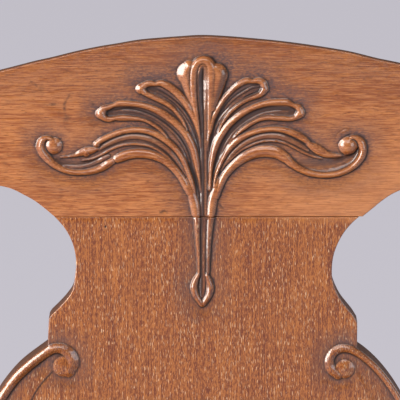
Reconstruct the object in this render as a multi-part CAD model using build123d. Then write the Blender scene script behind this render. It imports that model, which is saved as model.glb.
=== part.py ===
from build123d import *
import math
import os

# Joined armchair: open back with a shaped splat under a serpentine crest rail, plank seat, turned
# front legs that run up as arm supports, box stretchers, every joint a pegged mortise and tenon.
# Millimetres, +Z up, the sitter faces -Y, +X is the right-hand side seen from the front.

# Overall
OVERALL_WIDTH = 560.0       # over the outer faces of the legs
FRAME_DEPTH = 430.0         # front face of the front legs to the front face of the back posts
SEAT_TOP = 445.0
BACK_RAKE = 7.0             # degrees the back leans from upright

# Back: heights are measured up the leaning back from the seat top, depths behind its front face
JOINT_HEIGHT = 545.0        # where the splat meets the crest rail
CREST_RISE = 92.5           # crest rail above that joint, on the centre line
CREST_THICKNESS = 22.0
CREST_BEVEL_DEPTH = 17.0    # the back of the top edge is bevelled off
CREST_BEVEL_DROP = 9.0
CREST_EAR_HEIGHT = 45.0
CREST_EAR_OVERHANG = 5.0
CREST_UNDERCUT = 17.5       # rise of the underside between splat and post
SPLAT_THICKNESS = 15.0
SPLAT_JOINT_HALF = 76.0     # half width at the crest rail
SPLAT_WAIST_HALF = 64.0
SPLAT_WAIST_DROP = 25.0     # drops are measured down from the joint
SPLAT_HOLLOW_END = (71.8, 46.0)
SPLAT_SHOULDER_HALF = 77.0
SPLAT_SHOULDER_DROP = 58.0
SPLAT_SHOULDER_HEIGHT = 5.0
SPLAT_LOWER_SHOULDER = 14.0
SCROLL_RADIUS = 110.0       # outer sweep of the C-scroll on each side
SCROLL_CENTRE_HALF = 13.6
SCROLL_CENTRE_DROP = 152.7
SPLAT_NECK_HALF = 54.0
SPLAT_BULB_HALF = 62.0
SPLAT_FOOT_HALF = 82.0
LOWER_RAIL_CLEAR = 47.0     # gap between seat and lower back rail
LOWER_RAIL_HEIGHT = 48.0
LOWER_RAIL_THICKNESS = 26.0
LOWER_RAIL_PROUD = 4.0      # stands forward of the posts

# Posts and legs
STILE_WIDTH = 44.0
STILE_DEPTH = 40.0
STILE_TOP_DEPTH = 24.0
STILE_CHAMFER = 2.5
LEG_SQUARE = 48.0
COLLAR_RADIUS = 20.0        # of a turning where it meets a block or the arm
COLUMN_RADIUS = 16.0
VASE_BELLY_RADIUS = 20.5
VASE_NECK_RADIUS = 12.5
FOOT_RADIUS = 17.0
BEAD_HEIGHT = 8.0
BEAD_PROUD = 4.0
BEAD_LIFT = 3.0             # of the lowest ring above its block
NECK_RING_DROP = 28.0       # of the upper ring below the top of a turning
CAP_DROP = 14.0             # where the flared cap starts
CAP_LIP = 5.0
FOOT_HEIGHT = 62.0
LOWER_BLOCK_TOP = 136.0
UPPER_BLOCK_BOTTOM = 330.0
ARM_HEIGHT = 200.0          # underside of the arm above the seat, at the front
ARM_THICKNESS = 32.0
ARM_REAR_RISE = 10.0
ARM_ROLL_RADIUS = 22.0      # scroll at the front end of the arm
ARM_ROLL_CLEAR = 2.0        # from the turned post behind it
ARM_ROLL_DROP = 14.0        # scroll hangs below the arm's underside
ARM_CORNER = 7.0
ARM_FRONT_WIDTH = 58.0
ARM_REAR_WIDTH = 40.0
ARM_BOW = 12.0              # outward bow of the arm's outer edge
ARM_TOP_DIP = 4.0
ARM_UNDER_ARCH = 6.0

# Seat frame, stretchers and seat
RAIL_HEIGHT = 75.0
RAIL_THICKNESS = 26.0
RAIL_ARCH = 16.0            # arch of the front seat rail's lower edge
RAIL_ARCH_INSET = 50.0
STRETCHER_BOTTOM = 80.0
STRETCHER_HEIGHT = 38.0
STRETCHER_THICKNESS = 24.0
RAIL_SETBACK = 3.0          # rails and stretchers lie inside the leg faces
SEAT_THICKNESS = 22.0
SEAT_OVERHANG = 12.0
SEAT_NOSING = 7.0
FRONT_BOARD_WIDTH = 152.0
MIDDLE_BOARD_WIDTH = 145.0
TONGUE_LENGTH = 8.0
TONGUE_THICKNESS = 6.0

# Joinery
TENON_LENGTH = 22.0
TENON_THICKNESS = 9.0
TENON_SHOULDER = 7.0
STILE_TENON_HEIGHT = 28.0
SPLAT_TOP_TENON = 20.0
SPLAT_FOOT_TENON = 15.0
SPLAT_TENON_THICKNESS = 8.0
ARM_TENON_WIDTH = 12.0
ARM_TENON_SHOULDER = 5.0
POST_TENON_RADIUS = 11.0
POST_TENON_HEIGHT = 20.0
PEG_RADIUS = 3.5
PEG_LENGTH = 28.0
PEG_PROUD = 0.8
PEG_TAPER = 0.9             # far end of a peg against its head
PEG_FROM_SHOULDER = 11.0
SEAT_PEG_LENGTH = 45.0
JOINT_FIT = 0.15            # clearance round a tenon
PEG_FIT = 0.05
BOARD_FIT = 0.5             # seat boards round the posts
SOCKET_RELIEF = 1.0         # a socket is this much deeper than its tenon

# Places worked out from the sizes
HALF_WIDTH = OVERALL_WIDTH / 2
SEAT_UNDER = SEAT_TOP - SEAT_THICKNESS
STILE_INNER = HALF_WIDTH - STILE_WIDTH
STILE_MIDDLE = HALF_WIDTH - STILE_WIDTH / 2
LEG_INNER = HALF_WIDTH - LEG_SQUARE
LEG_MIDDLE = HALF_WIDTH - LEG_SQUARE / 2
LEG_FRONT = -FRAME_DEPTH
LEG_REAR = LEG_FRONT + LEG_SQUARE
LEG_MIDDLE_Y = LEG_FRONT + LEG_SQUARE / 2
ARM_UNDER = SEAT_TOP + ARM_HEIGHT
LOWER_RAIL_TOP = LOWER_RAIL_CLEAR + LOWER_RAIL_HEIGHT
SPLAT_LENGTH = JOINT_HEIGHT - LOWER_RAIL_TOP
FRONT_RAIL_Y = LEG_FRONT + RAIL_SETBACK + RAIL_THICKNESS / 2
BACK_RAIL_Y = STILE_DEPTH - RAIL_SETBACK - RAIL_THICKNESS / 2
SIDE_RAIL_X = HALF_WIDTH - RAIL_SETBACK - RAIL_THICKNESS / 2
SEAT_RAIL_BOTTOM = SEAT_UNDER - RAIL_HEIGHT
SEAT_SIDE = HALF_WIDTH + SEAT_OVERHANG
SEAT_FRONT = LEG_FRONT - SEAT_OVERHANG
MIDDLE_BOARD_FRONT = SEAT_FRONT + FRONT_BOARD_WIDTH
BACK_BOARD_FRONT = MIDDLE_BOARD_FRONT + MIDDLE_BOARD_WIDTH
SEAT_BACK = BACK_RAIL_Y + RAIL_THICKNESS / 2
BACK = Pos(0, 0, SEAT_TOP) * Rot(-BACK_RAKE, 0, 0)
SIDES = {"left": -1, "right": 1}
THICKNESS = {"seat_rail": RAIL_THICKNESS, "stretcher": STRETCHER_THICKNESS}


def block(x, y, z):
    """Box between pairs of limits."""
    middle = Pos((x[0] + x[1]) / 2, (y[0] + y[1]) / 2, (z[0] + z[1]) / 2)
    return middle * Box(abs(x[1] - x[0]), abs(y[1] - y[0]), abs(z[1] - z[0]))


def socket(x, y, z, fit=JOINT_FIT):
    """The box a tenon needs: the tenon's own limits with a clearance all round."""
    grown = [(min(pair) - fit, max(pair) + fit) for pair in (x, y, z)]
    return block(*grown)


def peg(place, axis, length=PEG_LENGTH):
    """Eight-sided riven peg, its head at the place, driven along the axis."""
    head = Plane(origin=place, z_dir=axis).offset(-PEG_PROUD)
    section = RegularPolygon(PEG_RADIUS, 8)
    return head * loft([section, Pos(0, 0, length + PEG_PROUD) * scale(section, PEG_TAPER)])


def peg_hole(place, axis, length=PEG_LENGTH):
    """Bore for such a peg, reamed to its eight sides."""
    mouth = Plane(origin=place, z_dir=axis).offset(-PEG_PROUD)
    return mouth * extrude(RegularPolygon(PEG_RADIUS + PEG_FIT, 8), length + PEG_PROUD + SOCKET_RELIEF)


def bored(solid, pegs):
    """A piece with the bores for its pegs."""
    for one in pegs:
        solid = solid - peg_hole(*one)
    return solid


def mirrored(solid, side):
    """Left-hand pieces are the mirror image of right-hand ones."""
    return mirror(solid, Plane.YZ) if side < 0 else solid


def board_across(outline, front, thickness):
    """Board sawn to an outline drawn on the face of the back."""
    return Pos(0, front, 0) * extrude(Plane.XZ * outline, -thickness)


def edges_near(solid, x=None, y=None, z=None):
    """Edges that run along the given coordinates."""
    found = ShapeList()
    for edge in solid.edges():
        middle = edge.center()
        pairs = ((x, abs(middle.X)), (y, middle.Y), (z, middle.Z))
        if all(want is None or abs(want - have) < 0.01 for want, have in pairs):
            found.append(edge)
    return found


# ---- joints: each function gives the limits that the tenon and its socket share ----

def crest_tenon(side):
    """Tenon on top of a back post, in the frame of the leaning back."""
    middle = side * STILE_MIDDLE
    half = STILE_WIDTH / 2 - TENON_SHOULDER
    depth = (STILE_TOP_DEPTH - TENON_THICKNESS) / 2
    return (
        (middle - half, middle + half),
        (depth, depth + TENON_THICKNESS),
        (JOINT_HEIGHT, JOINT_HEIGHT + STILE_TENON_HEIGHT),
    )


def splat_tenon(at_top):
    """Tenon at the top or the foot of the splat, in the frame of the leaning back."""
    depth = (SPLAT_THICKNESS - SPLAT_TENON_THICKNESS) / 2
    cheeks = (depth, depth + SPLAT_TENON_THICKNESS)
    if at_top:
        half = SPLAT_JOINT_HALF - 2 * TENON_SHOULDER
        return (-half, half), cheeks, (JOINT_HEIGHT, JOINT_HEIGHT + SPLAT_TOP_TENON)
    half = SPLAT_FOOT_HALF - 2 * TENON_SHOULDER
    return (-half, half), cheeks, (LOWER_RAIL_TOP - SPLAT_FOOT_TENON, LOWER_RAIL_TOP)


def lower_rail_tenon(side):
    """Tenon at an end of the lower back rail, in the frame of the leaning back."""
    middle = LOWER_RAIL_THICKNESS / 2 - LOWER_RAIL_PROUD
    return (
        (side * STILE_INNER, side * (STILE_INNER + TENON_LENGTH)),
        (middle - TENON_THICKNESS / 2, middle + TENON_THICKNESS / 2),
        (LOWER_RAIL_CLEAR + TENON_SHOULDER, LOWER_RAIL_TOP - TENON_SHOULDER),
    )


def cross_tenon(side, inner, middle_y, bottom, height):
    """Tenon of a front or back rail in the leg on that side."""
    return (
        (side * inner, side * (inner + TENON_LENGTH)),
        (middle_y - TENON_THICKNESS / 2, middle_y + TENON_THICKNESS / 2),
        (bottom + TENON_SHOULDER, bottom + height - TENON_SHOULDER),
    )


def side_tenon(side, shoulder, direction, bottom, height):
    """Tenon of a side rail, running from its shoulder towards the front (-1) or back (1)."""
    middle = side * SIDE_RAIL_X
    return (
        (middle - TENON_THICKNESS / 2, middle + TENON_THICKNESS / 2),
        (shoulder, shoulder + direction * TENON_LENGTH),
        (bottom + TENON_SHOULDER, bottom + height - TENON_SHOULDER),
    )


def arm_tenon(side):
    """Tenon from the back end of an arm into the post behind it."""
    middle = side * STILE_MIDDLE
    low = ARM_UNDER + ARM_REAR_RISE + ARM_TENON_SHOULDER
    return (
        (middle - ARM_TENON_WIDTH / 2, middle + ARM_TENON_WIDTH / 2),
        (0, TENON_LENGTH + STILE_DEPTH / 2 + ARM_TENON_SHOULDER),
        (low, low + ARM_THICKNESS - 2 * ARM_TENON_SHOULDER),
    )


# ---- peg places ----

def frame_levels():
    """Bottom, height and peg heights of the two levels of rails."""
    seat = SEAT_RAIL_BOTTOM + RAIL_HEIGHT / 2
    spread = RAIL_HEIGHT / 5
    stretcher = STRETCHER_BOTTOM + STRETCHER_HEIGHT / 2
    return {
        "seat_rail": (SEAT_RAIL_BOTTOM, RAIL_HEIGHT, (seat - spread, seat + spread)),
        "stretcher": (STRETCHER_BOTTOM, STRETCHER_HEIGHT, (stretcher,)),
    }


def corner_pegs(level, side, front):
    """Pegs of the two tenons that meet in one leg at one level: from its outer faces inward."""
    heights = frame_levels()[level][2]
    inner = LEG_INNER if front else STILE_INNER
    outer_y = LEG_FRONT if front else STILE_DEPTH
    inward = 1 if front else -1
    side_y = LEG_REAR - PEG_FROM_SHOULDER if front else PEG_FROM_SHOULDER
    cross_x = side * (inner + PEG_FROM_SHOULDER)
    pegs = []
    for height in heights:
        pegs.append(((cross_x, outer_y, height), (0, inward, 0)))
        pegs.append(((side * HALF_WIDTH, side_y, height), (-side, 0, 0)))
    return pegs


def crest_peg(side):
    """Peg through the crest rail and the post's tenon, in the frame of the leaning back."""
    place = (side * STILE_MIDDLE, 0, JOINT_HEIGHT + STILE_TENON_HEIGHT / 2)
    return place, (0, 1, 0), CREST_THICKNESS - 3


def lower_rail_peg(side):
    """Peg through a post and the lower back rail's tenon, in the frame of the leaning back."""
    height = LOWER_RAIL_CLEAR + LOWER_RAIL_HEIGHT / 2
    return (side * (STILE_INNER + PEG_FROM_SHOULDER), 0, height), (0, 1, 0), PEG_LENGTH


def arm_pegs(side):
    """Pegs through the arm's front socket and through the post into the arm's tenon."""
    front = (side * (LEG_MIDDLE + ARM_FRONT_WIDTH / 2), LEG_MIDDLE_Y, ARM_UNDER + POST_TENON_HEIGHT / 2)
    tenon = arm_tenon(side)
    height = sum(tenon[2]) / 2
    rear_y = tenon[1][1] - TENON_LENGTH / 2
    rear = (side * HALF_WIDTH, rear_y, height)
    return (front, (-side, 0, 0), ARM_FRONT_WIDTH - 20), (rear, (-side, 0, 0), PEG_LENGTH)


def seat_pegs(board):
    """Pegs down through a seat board into the rails below."""
    spread = LEG_INNER * 2 / 3
    middles = {
        "front": (MIDDLE_BOARD_FRONT + LEG_REAR) / 2,
        "middle": (MIDDLE_BOARD_FRONT + BACK_BOARD_FRONT) / 2,
        "back": BACK_BOARD_FRONT / 2,
    }
    places = [(side * SIDE_RAIL_X, middles[board]) for side in SIDES.values()]
    if board == "front":
        places += [(x, FRONT_RAIL_Y) for x in (-spread, 0, spread)]
    if board == "back":
        places += [(x, BACK_RAIL_Y) for x in (-spread, 0, spread)]
    return [((x, y, SEAT_TOP), (0, 0, -1), SEAT_PEG_LENGTH) for x, y in places]


# ---- the back ----

def crest_outline():
    """Arched centre, falling in a double curve to an ear over each post."""
    ear = CREST_EAR_HEIGHT
    end = HALF_WIDTH + CREST_EAR_OVERHANG
    right = [(50, CREST_RISE - 5.5), (100, CREST_RISE - 16.5), (150, ear + 17.5), (200, ear + 5)]
    ear_top = (HALF_WIDTH - 20, ear)
    left = [(-x, z) for x, z in reversed(right)]
    points = [(-ear_top[0], ear), *left, (0, CREST_RISE), *right, ear_top]
    top = Spline(*points, tangents=[(1, 0), (1, 0)])
    edges = [top, Line((-SPLAT_JOINT_HALF, 0), (SPLAT_JOINT_HALF, 0))]
    tip = (end, ear - (end - ear_top[0]))
    half = [
        TangentArc(ear_top, tip, tangent=(1, 0)),
        TangentArc(tip, (HALF_WIDTH, 0), tangent=(0, -1)),
        Line((HALF_WIDTH, 0), (STILE_INNER, 0)),
        Spline(
            (STILE_INNER, 0), (STILE_INNER - 50, CREST_UNDERCUT * 0.4),
            (SPLAT_JOINT_HALF + 42, CREST_UNDERCUT), (SPLAT_JOINT_HALF + 17, CREST_UNDERCUT * 0.72),
            (SPLAT_JOINT_HALF, 0),
            tangents=[(-1, 0), (-0.65, -0.75)],
        ),
    ]
    edges += half + [mirror(edge, Plane.YZ) for edge in half]
    return make_face(edges)


def crest_rail():
    """Crest rail: shaped board, bevelled behind, with sockets for the splat and both posts."""
    rail = board_across(crest_outline(), 0, CREST_THICKNESS)
    top_back = [
        edge for edge in edges_near(rail, y=CREST_THICKNESS)
        if edge.center().Z > CREST_EAR_HEIGHT * 0.9
    ]
    rail = chamfer(top_back, CREST_BEVEL_DROP, CREST_BEVEL_DEPTH, reference=rail.faces().sort_by(Axis.Y)[-1])
    rail = Pos(0, 0, JOINT_HEIGHT) * rail
    rail -= socket(*splat_tenon(True))
    for side in SIDES.values():
        rail -= socket(*crest_tenon(side))
        rail -= peg_hole(*crest_peg(side))
    return BACK * rail


def splat_outline():
    """Splat on its centre line: waist, shoulder, C-scroll, lower shoulder, neck and foot."""
    hollow_end = (SPLAT_HOLLOW_END[0], -SPLAT_HOLLOW_END[1])
    shoulder_top = (SPLAT_SHOULDER_HALF, -SPLAT_SHOULDER_DROP)
    shoulder_end = (SPLAT_SHOULDER_HALF, -SPLAT_SHOULDER_DROP - SPLAT_SHOULDER_HEIGHT)
    scroll_side = (SCROLL_CENTRE_HALF + SCROLL_RADIUS, -SCROLL_CENTRE_DROP)
    lower_shoulder = (SPLAT_SHOULDER_HALF, -2 * SCROLL_CENTRE_DROP - shoulder_end[1])
    neck = (SPLAT_SHOULDER_HALF, lower_shoulder[1] - SPLAT_LOWER_SHOULDER)
    reach = SPLAT_LENGTH + neck[1]
    foot = (SPLAT_FOOT_HALF, -SPLAT_LENGTH)
    half = [
        ThreePointArc((SPLAT_JOINT_HALF, 0), (SPLAT_WAIST_HALF, -SPLAT_WAIST_DROP), hollow_end),
        TangentArc(hollow_end, shoulder_top, tangent=(0.656, -0.755)),
        Line(shoulder_top, shoulder_end),
        ThreePointArc(shoulder_end, scroll_side, lower_shoulder),
        Line(lower_shoulder, neck),
        Spline(
            neck,
            (SPLAT_NECK_HALF, neck[1] - reach * 0.24),
            (SPLAT_BULB_HALF, neck[1] - reach * 0.6),
            (SPLAT_NECK_HALF + 6, neck[1] - reach * 0.82),
            foot,
            tangents=[(-0.2, -1), (0.9, -0.4)],
        ),
    ]
    edges = half + [mirror(edge, Plane.YZ) for edge in half]
    edges.append(Line((-SPLAT_JOINT_HALF, 0), (SPLAT_JOINT_HALF, 0)))
    edges.append(Line((-SPLAT_FOOT_HALF, -SPLAT_LENGTH), foot))
    return make_face(edges)


def splat():
    """Splat: shaped board with a tenon at its top and its foot."""
    board = Pos(0, 0, JOINT_HEIGHT) * board_across(splat_outline(), 0, SPLAT_THICKNESS)
    board += block(*splat_tenon(True))
    board += block(*splat_tenon(False))
    return BACK * board


def lower_back_rail():
    """Rail that carries the foot of the splat, its top edge rounded at the front."""
    rail = block(
        (-STILE_INNER, STILE_INNER),
        (-LOWER_RAIL_PROUD, LOWER_RAIL_THICKNESS - LOWER_RAIL_PROUD),
        (LOWER_RAIL_CLEAR, LOWER_RAIL_TOP),
    )
    rail = fillet(edges_near(rail, x=0, y=-LOWER_RAIL_PROUD), LOWER_RAIL_PROUD - 0.5)
    rail -= socket(*splat_tenon(False))
    for side in SIDES.values():
        rail += block(*lower_rail_tenon(side))
        rail -= peg_hole(*lower_rail_peg(side))
    return BACK * rail


def stile(side):
    """Back post: upright below the seat, leaning and tapered behind above it."""
    top_front = (BACK * Pos(0, 0, JOINT_HEIGHT)).position
    top_back = (BACK * Pos(0, STILE_TOP_DEPTH, JOINT_HEIGHT)).position
    up_lean = top_front - BACK.position
    profile = make_face([
        Line((0, 0), (0, SEAT_TOP)),
        Line((0, SEAT_TOP), (top_front.Y, top_front.Z)),
        Line((top_front.Y, top_front.Z), (top_back.Y, top_back.Z)),
        Spline(
            (top_back.Y, top_back.Z), (STILE_DEPTH, SEAT_RAIL_BOTTOM),
            tangents=[(-up_lean.Y, -up_lean.Z), (0, -1)],
        ),
        Line((STILE_DEPTH, SEAT_RAIL_BOTTOM), (STILE_DEPTH, 0)),
        Line((STILE_DEPTH, 0), (0, 0)),
    ])
    post = Pos(STILE_INNER, 0, 0) * extrude(Plane.YZ * profile, STILE_WIDTH)
    outer = edges_near(post, x=HALF_WIDTH).filter_by(lambda edge: edge.length > 2 * STILE_DEPTH)
    post = chamfer(outer, STILE_CHAMFER)
    post += BACK * block(*crest_tenon(1))
    post -= BACK * socket(*lower_rail_tenon(1))
    post -= BACK * peg_hole(*lower_rail_peg(1))
    post -= BACK * peg_hole(*crest_peg(1))
    post -= socket(*arm_tenon(1))
    for level, (bottom, height, _) in frame_levels().items():
        post -= socket(*cross_tenon(1, STILE_INNER, BACK_RAIL_Y, bottom, height))
        post -= socket(*side_tenon(1, 0, 1, bottom, height))
        post = bored(post, corner_pegs(level, 1, False))
    post -= peg_hole(*arm_pegs(1)[1])
    return mirrored(post, side)


# ---- legs and arms ----

def turned(steps):
    """Solid of revolution about Z through (radius, height) steps, closed along the axis."""
    outline = [(0, steps[0][1]), *steps, (0, steps[-1][1])]
    return revolve(Plane.XZ * make_face(Polyline(*outline, close=True)), Axis.Z)


def bead(bottom, radius):
    """Steps of a raised ring round a turning of the given radius."""
    return [(radius, bottom), (radius + BEAD_PROUD, bottom + BEAD_HEIGHT / 2), (radius, bottom + BEAD_HEIGHT)]


def leg_block(bottom, top):
    """Square block between turnings, its corners turned off at both ends."""
    half = LEG_SQUARE / 2
    corner = half * 2 ** 0.5 + 0.5
    shoulder = corner - half
    square = Pos(0, 0, (bottom + top) / 2) * Box(LEG_SQUARE, LEG_SQUARE, top - bottom)
    barrel = turned([(half, bottom), (corner, bottom + shoulder), (corner, top - shoulder), (half, top)])
    return square & barrel


def bun_foot():
    """Turned foot below the lower block."""
    neck = FOOT_HEIGHT - 12
    wide = LEG_SQUARE / 2 + 3
    return turned([
        (FOOT_RADIUS, 0), (wide - 2, neck * 0.28), (wide, neck * 0.5), (wide - 3, neck * 0.74),
        (FOOT_RADIUS + 1, neck), (COLLAR_RADIUS, neck + 3), (COLLAR_RADIUS, FOOT_HEIGHT),
    ])


def cap(top, radius):
    """Steps of the neck ring and the flared cap that end a turning."""
    return [
        *bead(top - NECK_RING_DROP, radius), (radius, top - CAP_DROP),
        (COLLAR_RADIUS, top - CAP_LIP), (COLLAR_RADIUS, top),
    ]


def column(bottom, top):
    """Column turning of the lower leg: base ring and plain shaft under the cap."""
    base = bead(bottom + BEAD_LIFT, COLLAR_RADIUS)
    shaft = (COLUMN_RADIUS, base[-1][1] + 2)
    return turned([(COLLAR_RADIUS, bottom), *base, shaft, *cap(top, COLUMN_RADIUS)])


def baluster(bottom, top):
    """Vase turning of the arm support: base ring and low belly tapering up to the cap."""
    base = bead(bottom + BEAD_LIFT, COLLAR_RADIUS)
    foot = base[-1][1] + 4
    belly = foot + (top - NECK_RING_DROP - foot) * 0.22
    return turned([
        (COLLAR_RADIUS, bottom), *base, (VASE_NECK_RADIUS, foot),
        (VASE_BELLY_RADIUS, belly), (VASE_BELLY_RADIUS, belly + 10), *cap(top, VASE_NECK_RADIUS),
    ])


def post_tenon(fit):
    """Round tenon on top of the arm support, or with a clearance the bore for it, about the Z axis."""
    height = POST_TENON_HEIGHT + (SOCKET_RELIEF if fit else 0)
    return Pos(0, 0, ARM_UNDER + height / 2) * Cylinder(POST_TENON_RADIUS + fit, height)


def front_leg(side):
    """Front leg and arm support in one: foot, block, turning, block, turning, round tenon."""
    leg = bun_foot() + leg_block(FOOT_HEIGHT, LOWER_BLOCK_TOP)
    leg += column(LOWER_BLOCK_TOP, UPPER_BLOCK_BOTTOM)
    leg += leg_block(UPPER_BLOCK_BOTTOM, SEAT_TOP)
    leg += baluster(SEAT_TOP, ARM_UNDER)
    leg += post_tenon(0)
    leg = Pos(LEG_MIDDLE, LEG_MIDDLE_Y, 0) * leg
    for level, (bottom, height, _) in frame_levels().items():
        leg -= socket(*cross_tenon(1, LEG_INNER, FRONT_RAIL_Y, bottom, height))
        leg -= socket(*side_tenon(1, LEG_REAR, -1, bottom, height))
        leg = bored(leg, corner_pegs(level, 1, True))
    leg -= peg_hole(*arm_pegs(1)[0])
    return mirrored(leg, side)


def arm_roll():
    """Centre of the scroll at the front of the arm, as (y, z)."""
    post_front = LEG_MIDDLE_Y - COLLAR_RADIUS
    return post_front - ARM_ROLL_CLEAR - ARM_ROLL_RADIUS, ARM_UNDER - ARM_ROLL_DROP + ARM_ROLL_RADIUS


def arm_plan():
    """Arm seen from above: narrow at the post, bowed out, broad at the front."""
    rear = STILE_DEPTH
    inner_rear = STILE_MIDDLE - ARM_REAR_WIDTH / 2
    outer_rear = STILE_MIDDLE + ARM_REAR_WIDTH / 2
    inner_front = LEG_MIDDLE - ARM_FRONT_WIDTH / 2
    outer_front = LEG_MIDDLE + ARM_FRONT_WIDTH / 2
    nose = arm_roll()[0] - ARM_ROLL_RADIUS
    halfway = -FRAME_DEPTH / 2
    plan = make_face([
        Line((inner_rear, rear), (outer_rear, rear)),
        Spline(
            (outer_rear, rear), (HALF_WIDTH + ARM_BOW - 1, halfway), (outer_front, LEG_MIDDLE_Y),
            tangents=[(0.1, -1), (0, -1)],
        ),
        Line((outer_front, LEG_MIDDLE_Y), (outer_front, nose)),
        Line((outer_front, nose), (inner_front, nose)),
        Line((inner_front, nose), (inner_front, LEG_MIDDLE_Y)),
        Spline(
            (inner_front, LEG_MIDDLE_Y), (inner_rear + ARM_BOW, halfway), (inner_rear, rear),
            tangents=[(0, 1), (-0.05, 1)],
        ),
    ])
    corners = plan.vertices().group_by(Axis.Y)[0]
    return fillet(corners, ARM_CORNER)


def arm_profile():
    """Arm seen from the side: dips in the middle, rolls over and under at the front."""
    rear = STILE_DEPTH
    under = ARM_UNDER
    top = ARM_UNDER + ARM_THICKNESS
    roll_y, roll_z = arm_roll()
    roll_top = (roll_y, roll_z + ARM_ROLL_RADIUS)
    roll_end = (roll_y + ARM_ROLL_RADIUS, roll_z)
    roll_side = ARM_ROLL_RADIUS * math.cos(math.pi / 4)
    halfway = -FRAME_DEPTH / 2
    return make_face([
        Spline(
            (rear, top + ARM_REAR_RISE), (halfway, top - ARM_TOP_DIP), roll_top,
            tangents=[(-1, -0.05), (-1, 0)],
        ),
        ThreePointArc(roll_top, (roll_y - roll_side, roll_z - roll_side), roll_end),
        Line(roll_end, (roll_end[0], under)),
        Line((roll_end[0], under), (LEG_REAR, under)),
        Spline(
            (LEG_REAR, under), (halfway, under + ARM_UNDER_ARCH), (rear, under + ARM_REAR_RISE),
            tangents=[(1, 0.1), (1, 0.02)],
        ),
        Line((rear, under + ARM_REAR_RISE), (rear, top + ARM_REAR_RISE)),
    ])


def arm(side):
    """Arm: sawn to plan and profile, shouldered on the leaning post, socketed over the leg."""
    plan = Pos(0, 0, SEAT_TOP) * extrude(arm_plan(), ARM_HEIGHT + 2 * ARM_THICKNESS)
    profile = extrude(Plane.YZ * arm_profile(), OVERALL_WIDTH)
    solid = plan & profile
    behind = BACK * block((0, OVERALL_WIDTH), (0, FRAME_DEPTH), (0, JOINT_HEIGHT))
    solid -= behind
    solid += block(*arm_tenon(1))
    solid -= Pos(LEG_MIDDLE, LEG_MIDDLE_Y, 0) * post_tenon(JOINT_FIT)
    for place in arm_pegs(1):
        solid -= peg_hole(*place)
    return mirrored(solid, side)


# ---- seat frame and stretchers ----

def cross_rail(level, front):
    """Seat rail or stretcher across the front or back, with a tenon at each end."""
    bottom, height, _ = frame_levels()[level]
    inner = LEG_INNER if front else STILE_INNER
    middle = FRONT_RAIL_Y if front else BACK_RAIL_Y
    thickness = THICKNESS[level]
    faces = (middle - thickness / 2, middle + thickness / 2)
    rail = block((-inner, inner), faces, (bottom, bottom + height))
    if level == "seat_rail" and front:
        arch_end = (inner - RAIL_ARCH_INSET, bottom)
        arch = make_face([
            ThreePointArc((-arch_end[0], bottom), (0, bottom + RAIL_ARCH), arch_end),
            Line(arch_end, (-arch_end[0], bottom)),
        ])
        rail -= Pos(0, faces[0], 0) * extrude(Plane.XZ * arch, -RAIL_THICKNESS)
    for side in SIDES.values():
        rail += block(*cross_tenon(side, inner, middle, bottom, height))
        rail = bored(rail, corner_pegs(level, side, front))
    if level == "seat_rail":
        rail = bored(rail, seat_pegs("front" if front else "back"))
    return rail


def side_rail(level, side):
    """Seat rail or stretcher along one side, between front leg and back post."""
    bottom, height, _ = frame_levels()[level]
    middle = side * SIDE_RAIL_X
    thickness = THICKNESS[level]
    faces = (middle - thickness / 2, middle + thickness / 2)
    rail = block(faces, (LEG_REAR, 0), (bottom, bottom + height))
    rail += block(*side_tenon(side, LEG_REAR, -1, bottom, height))
    rail += block(*side_tenon(side, 0, 1, bottom, height))
    for front in (True, False):
        rail = bored(rail, corner_pegs(level, side, front))
    if level == "seat_rail":
        for board in ("front", "middle", "back"):
            rail = bored(rail, seat_pegs(board))
    return rail


# ---- seat ----

def tongue(front_y, grown=0.0):
    """Tongue along the back edge of a seat board that ends at front_y, or the groove for it."""
    middle = SEAT_TOP - SEAT_THICKNESS / 2
    half = TONGUE_THICKNESS / 2 + grown
    return block(
        (-SEAT_SIDE + SEAT_NOSING, SEAT_SIDE - SEAT_NOSING),
        (front_y - grown, front_y + TONGUE_LENGTH + 2 * grown),
        (middle - half, middle + half),
    )


def seat_board(name):
    """One of three boards across the seat, notched round the legs or posts."""
    levels = (SEAT_UNDER, SEAT_TOP)
    if name == "front":
        board = block((-LEG_INNER + BOARD_FIT, LEG_INNER - BOARD_FIT), (SEAT_FRONT, LEG_REAR + 1), levels)
        board += block((-SEAT_SIDE, SEAT_SIDE), (LEG_REAR + BOARD_FIT, MIDDLE_BOARD_FRONT), levels)
    elif name == "middle":
        board = block((-SEAT_SIDE, SEAT_SIDE), (MIDDLE_BOARD_FRONT, BACK_BOARD_FRONT), levels)
    else:
        board = block((-SEAT_SIDE, SEAT_SIDE), (BACK_BOARD_FRONT, -BOARD_FIT), levels)
        board += block((-STILE_INNER + BOARD_FIT, STILE_INNER - BOARD_FIT), (-1, SEAT_BACK), levels)
    nosed = edges_near(board, x=SEAT_SIDE, z=SEAT_TOP) + edges_near(board, y=SEAT_FRONT, z=SEAT_TOP)
    board = fillet(nosed, SEAT_NOSING)
    under = edges_near(board, x=SEAT_SIDE, z=SEAT_UNDER) + edges_near(board, y=SEAT_FRONT, z=SEAT_UNDER)
    board = fillet(under, SEAT_NOSING / 2)
    if name != "back":
        board += tongue(MIDDLE_BOARD_FRONT if name == "front" else BACK_BOARD_FRONT)
    if name != "front":
        board -= tongue(MIDDLE_BOARD_FRONT if name == "middle" else BACK_BOARD_FRONT, JOINT_FIT)
    return bored(board, seat_pegs(name))


# ---- pegs ----

def frame_pegs(level):
    """All pegs of one level of rails."""
    places = []
    for side in SIDES.values():
        for front in (True, False):
            places += corner_pegs(level, side, front)
    return [peg(*place) for place in places]


def back_pegs(place):
    """A pair of pegs in the leaning back."""
    return [BACK * peg(*place(side)) for side in SIDES.values()]


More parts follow.
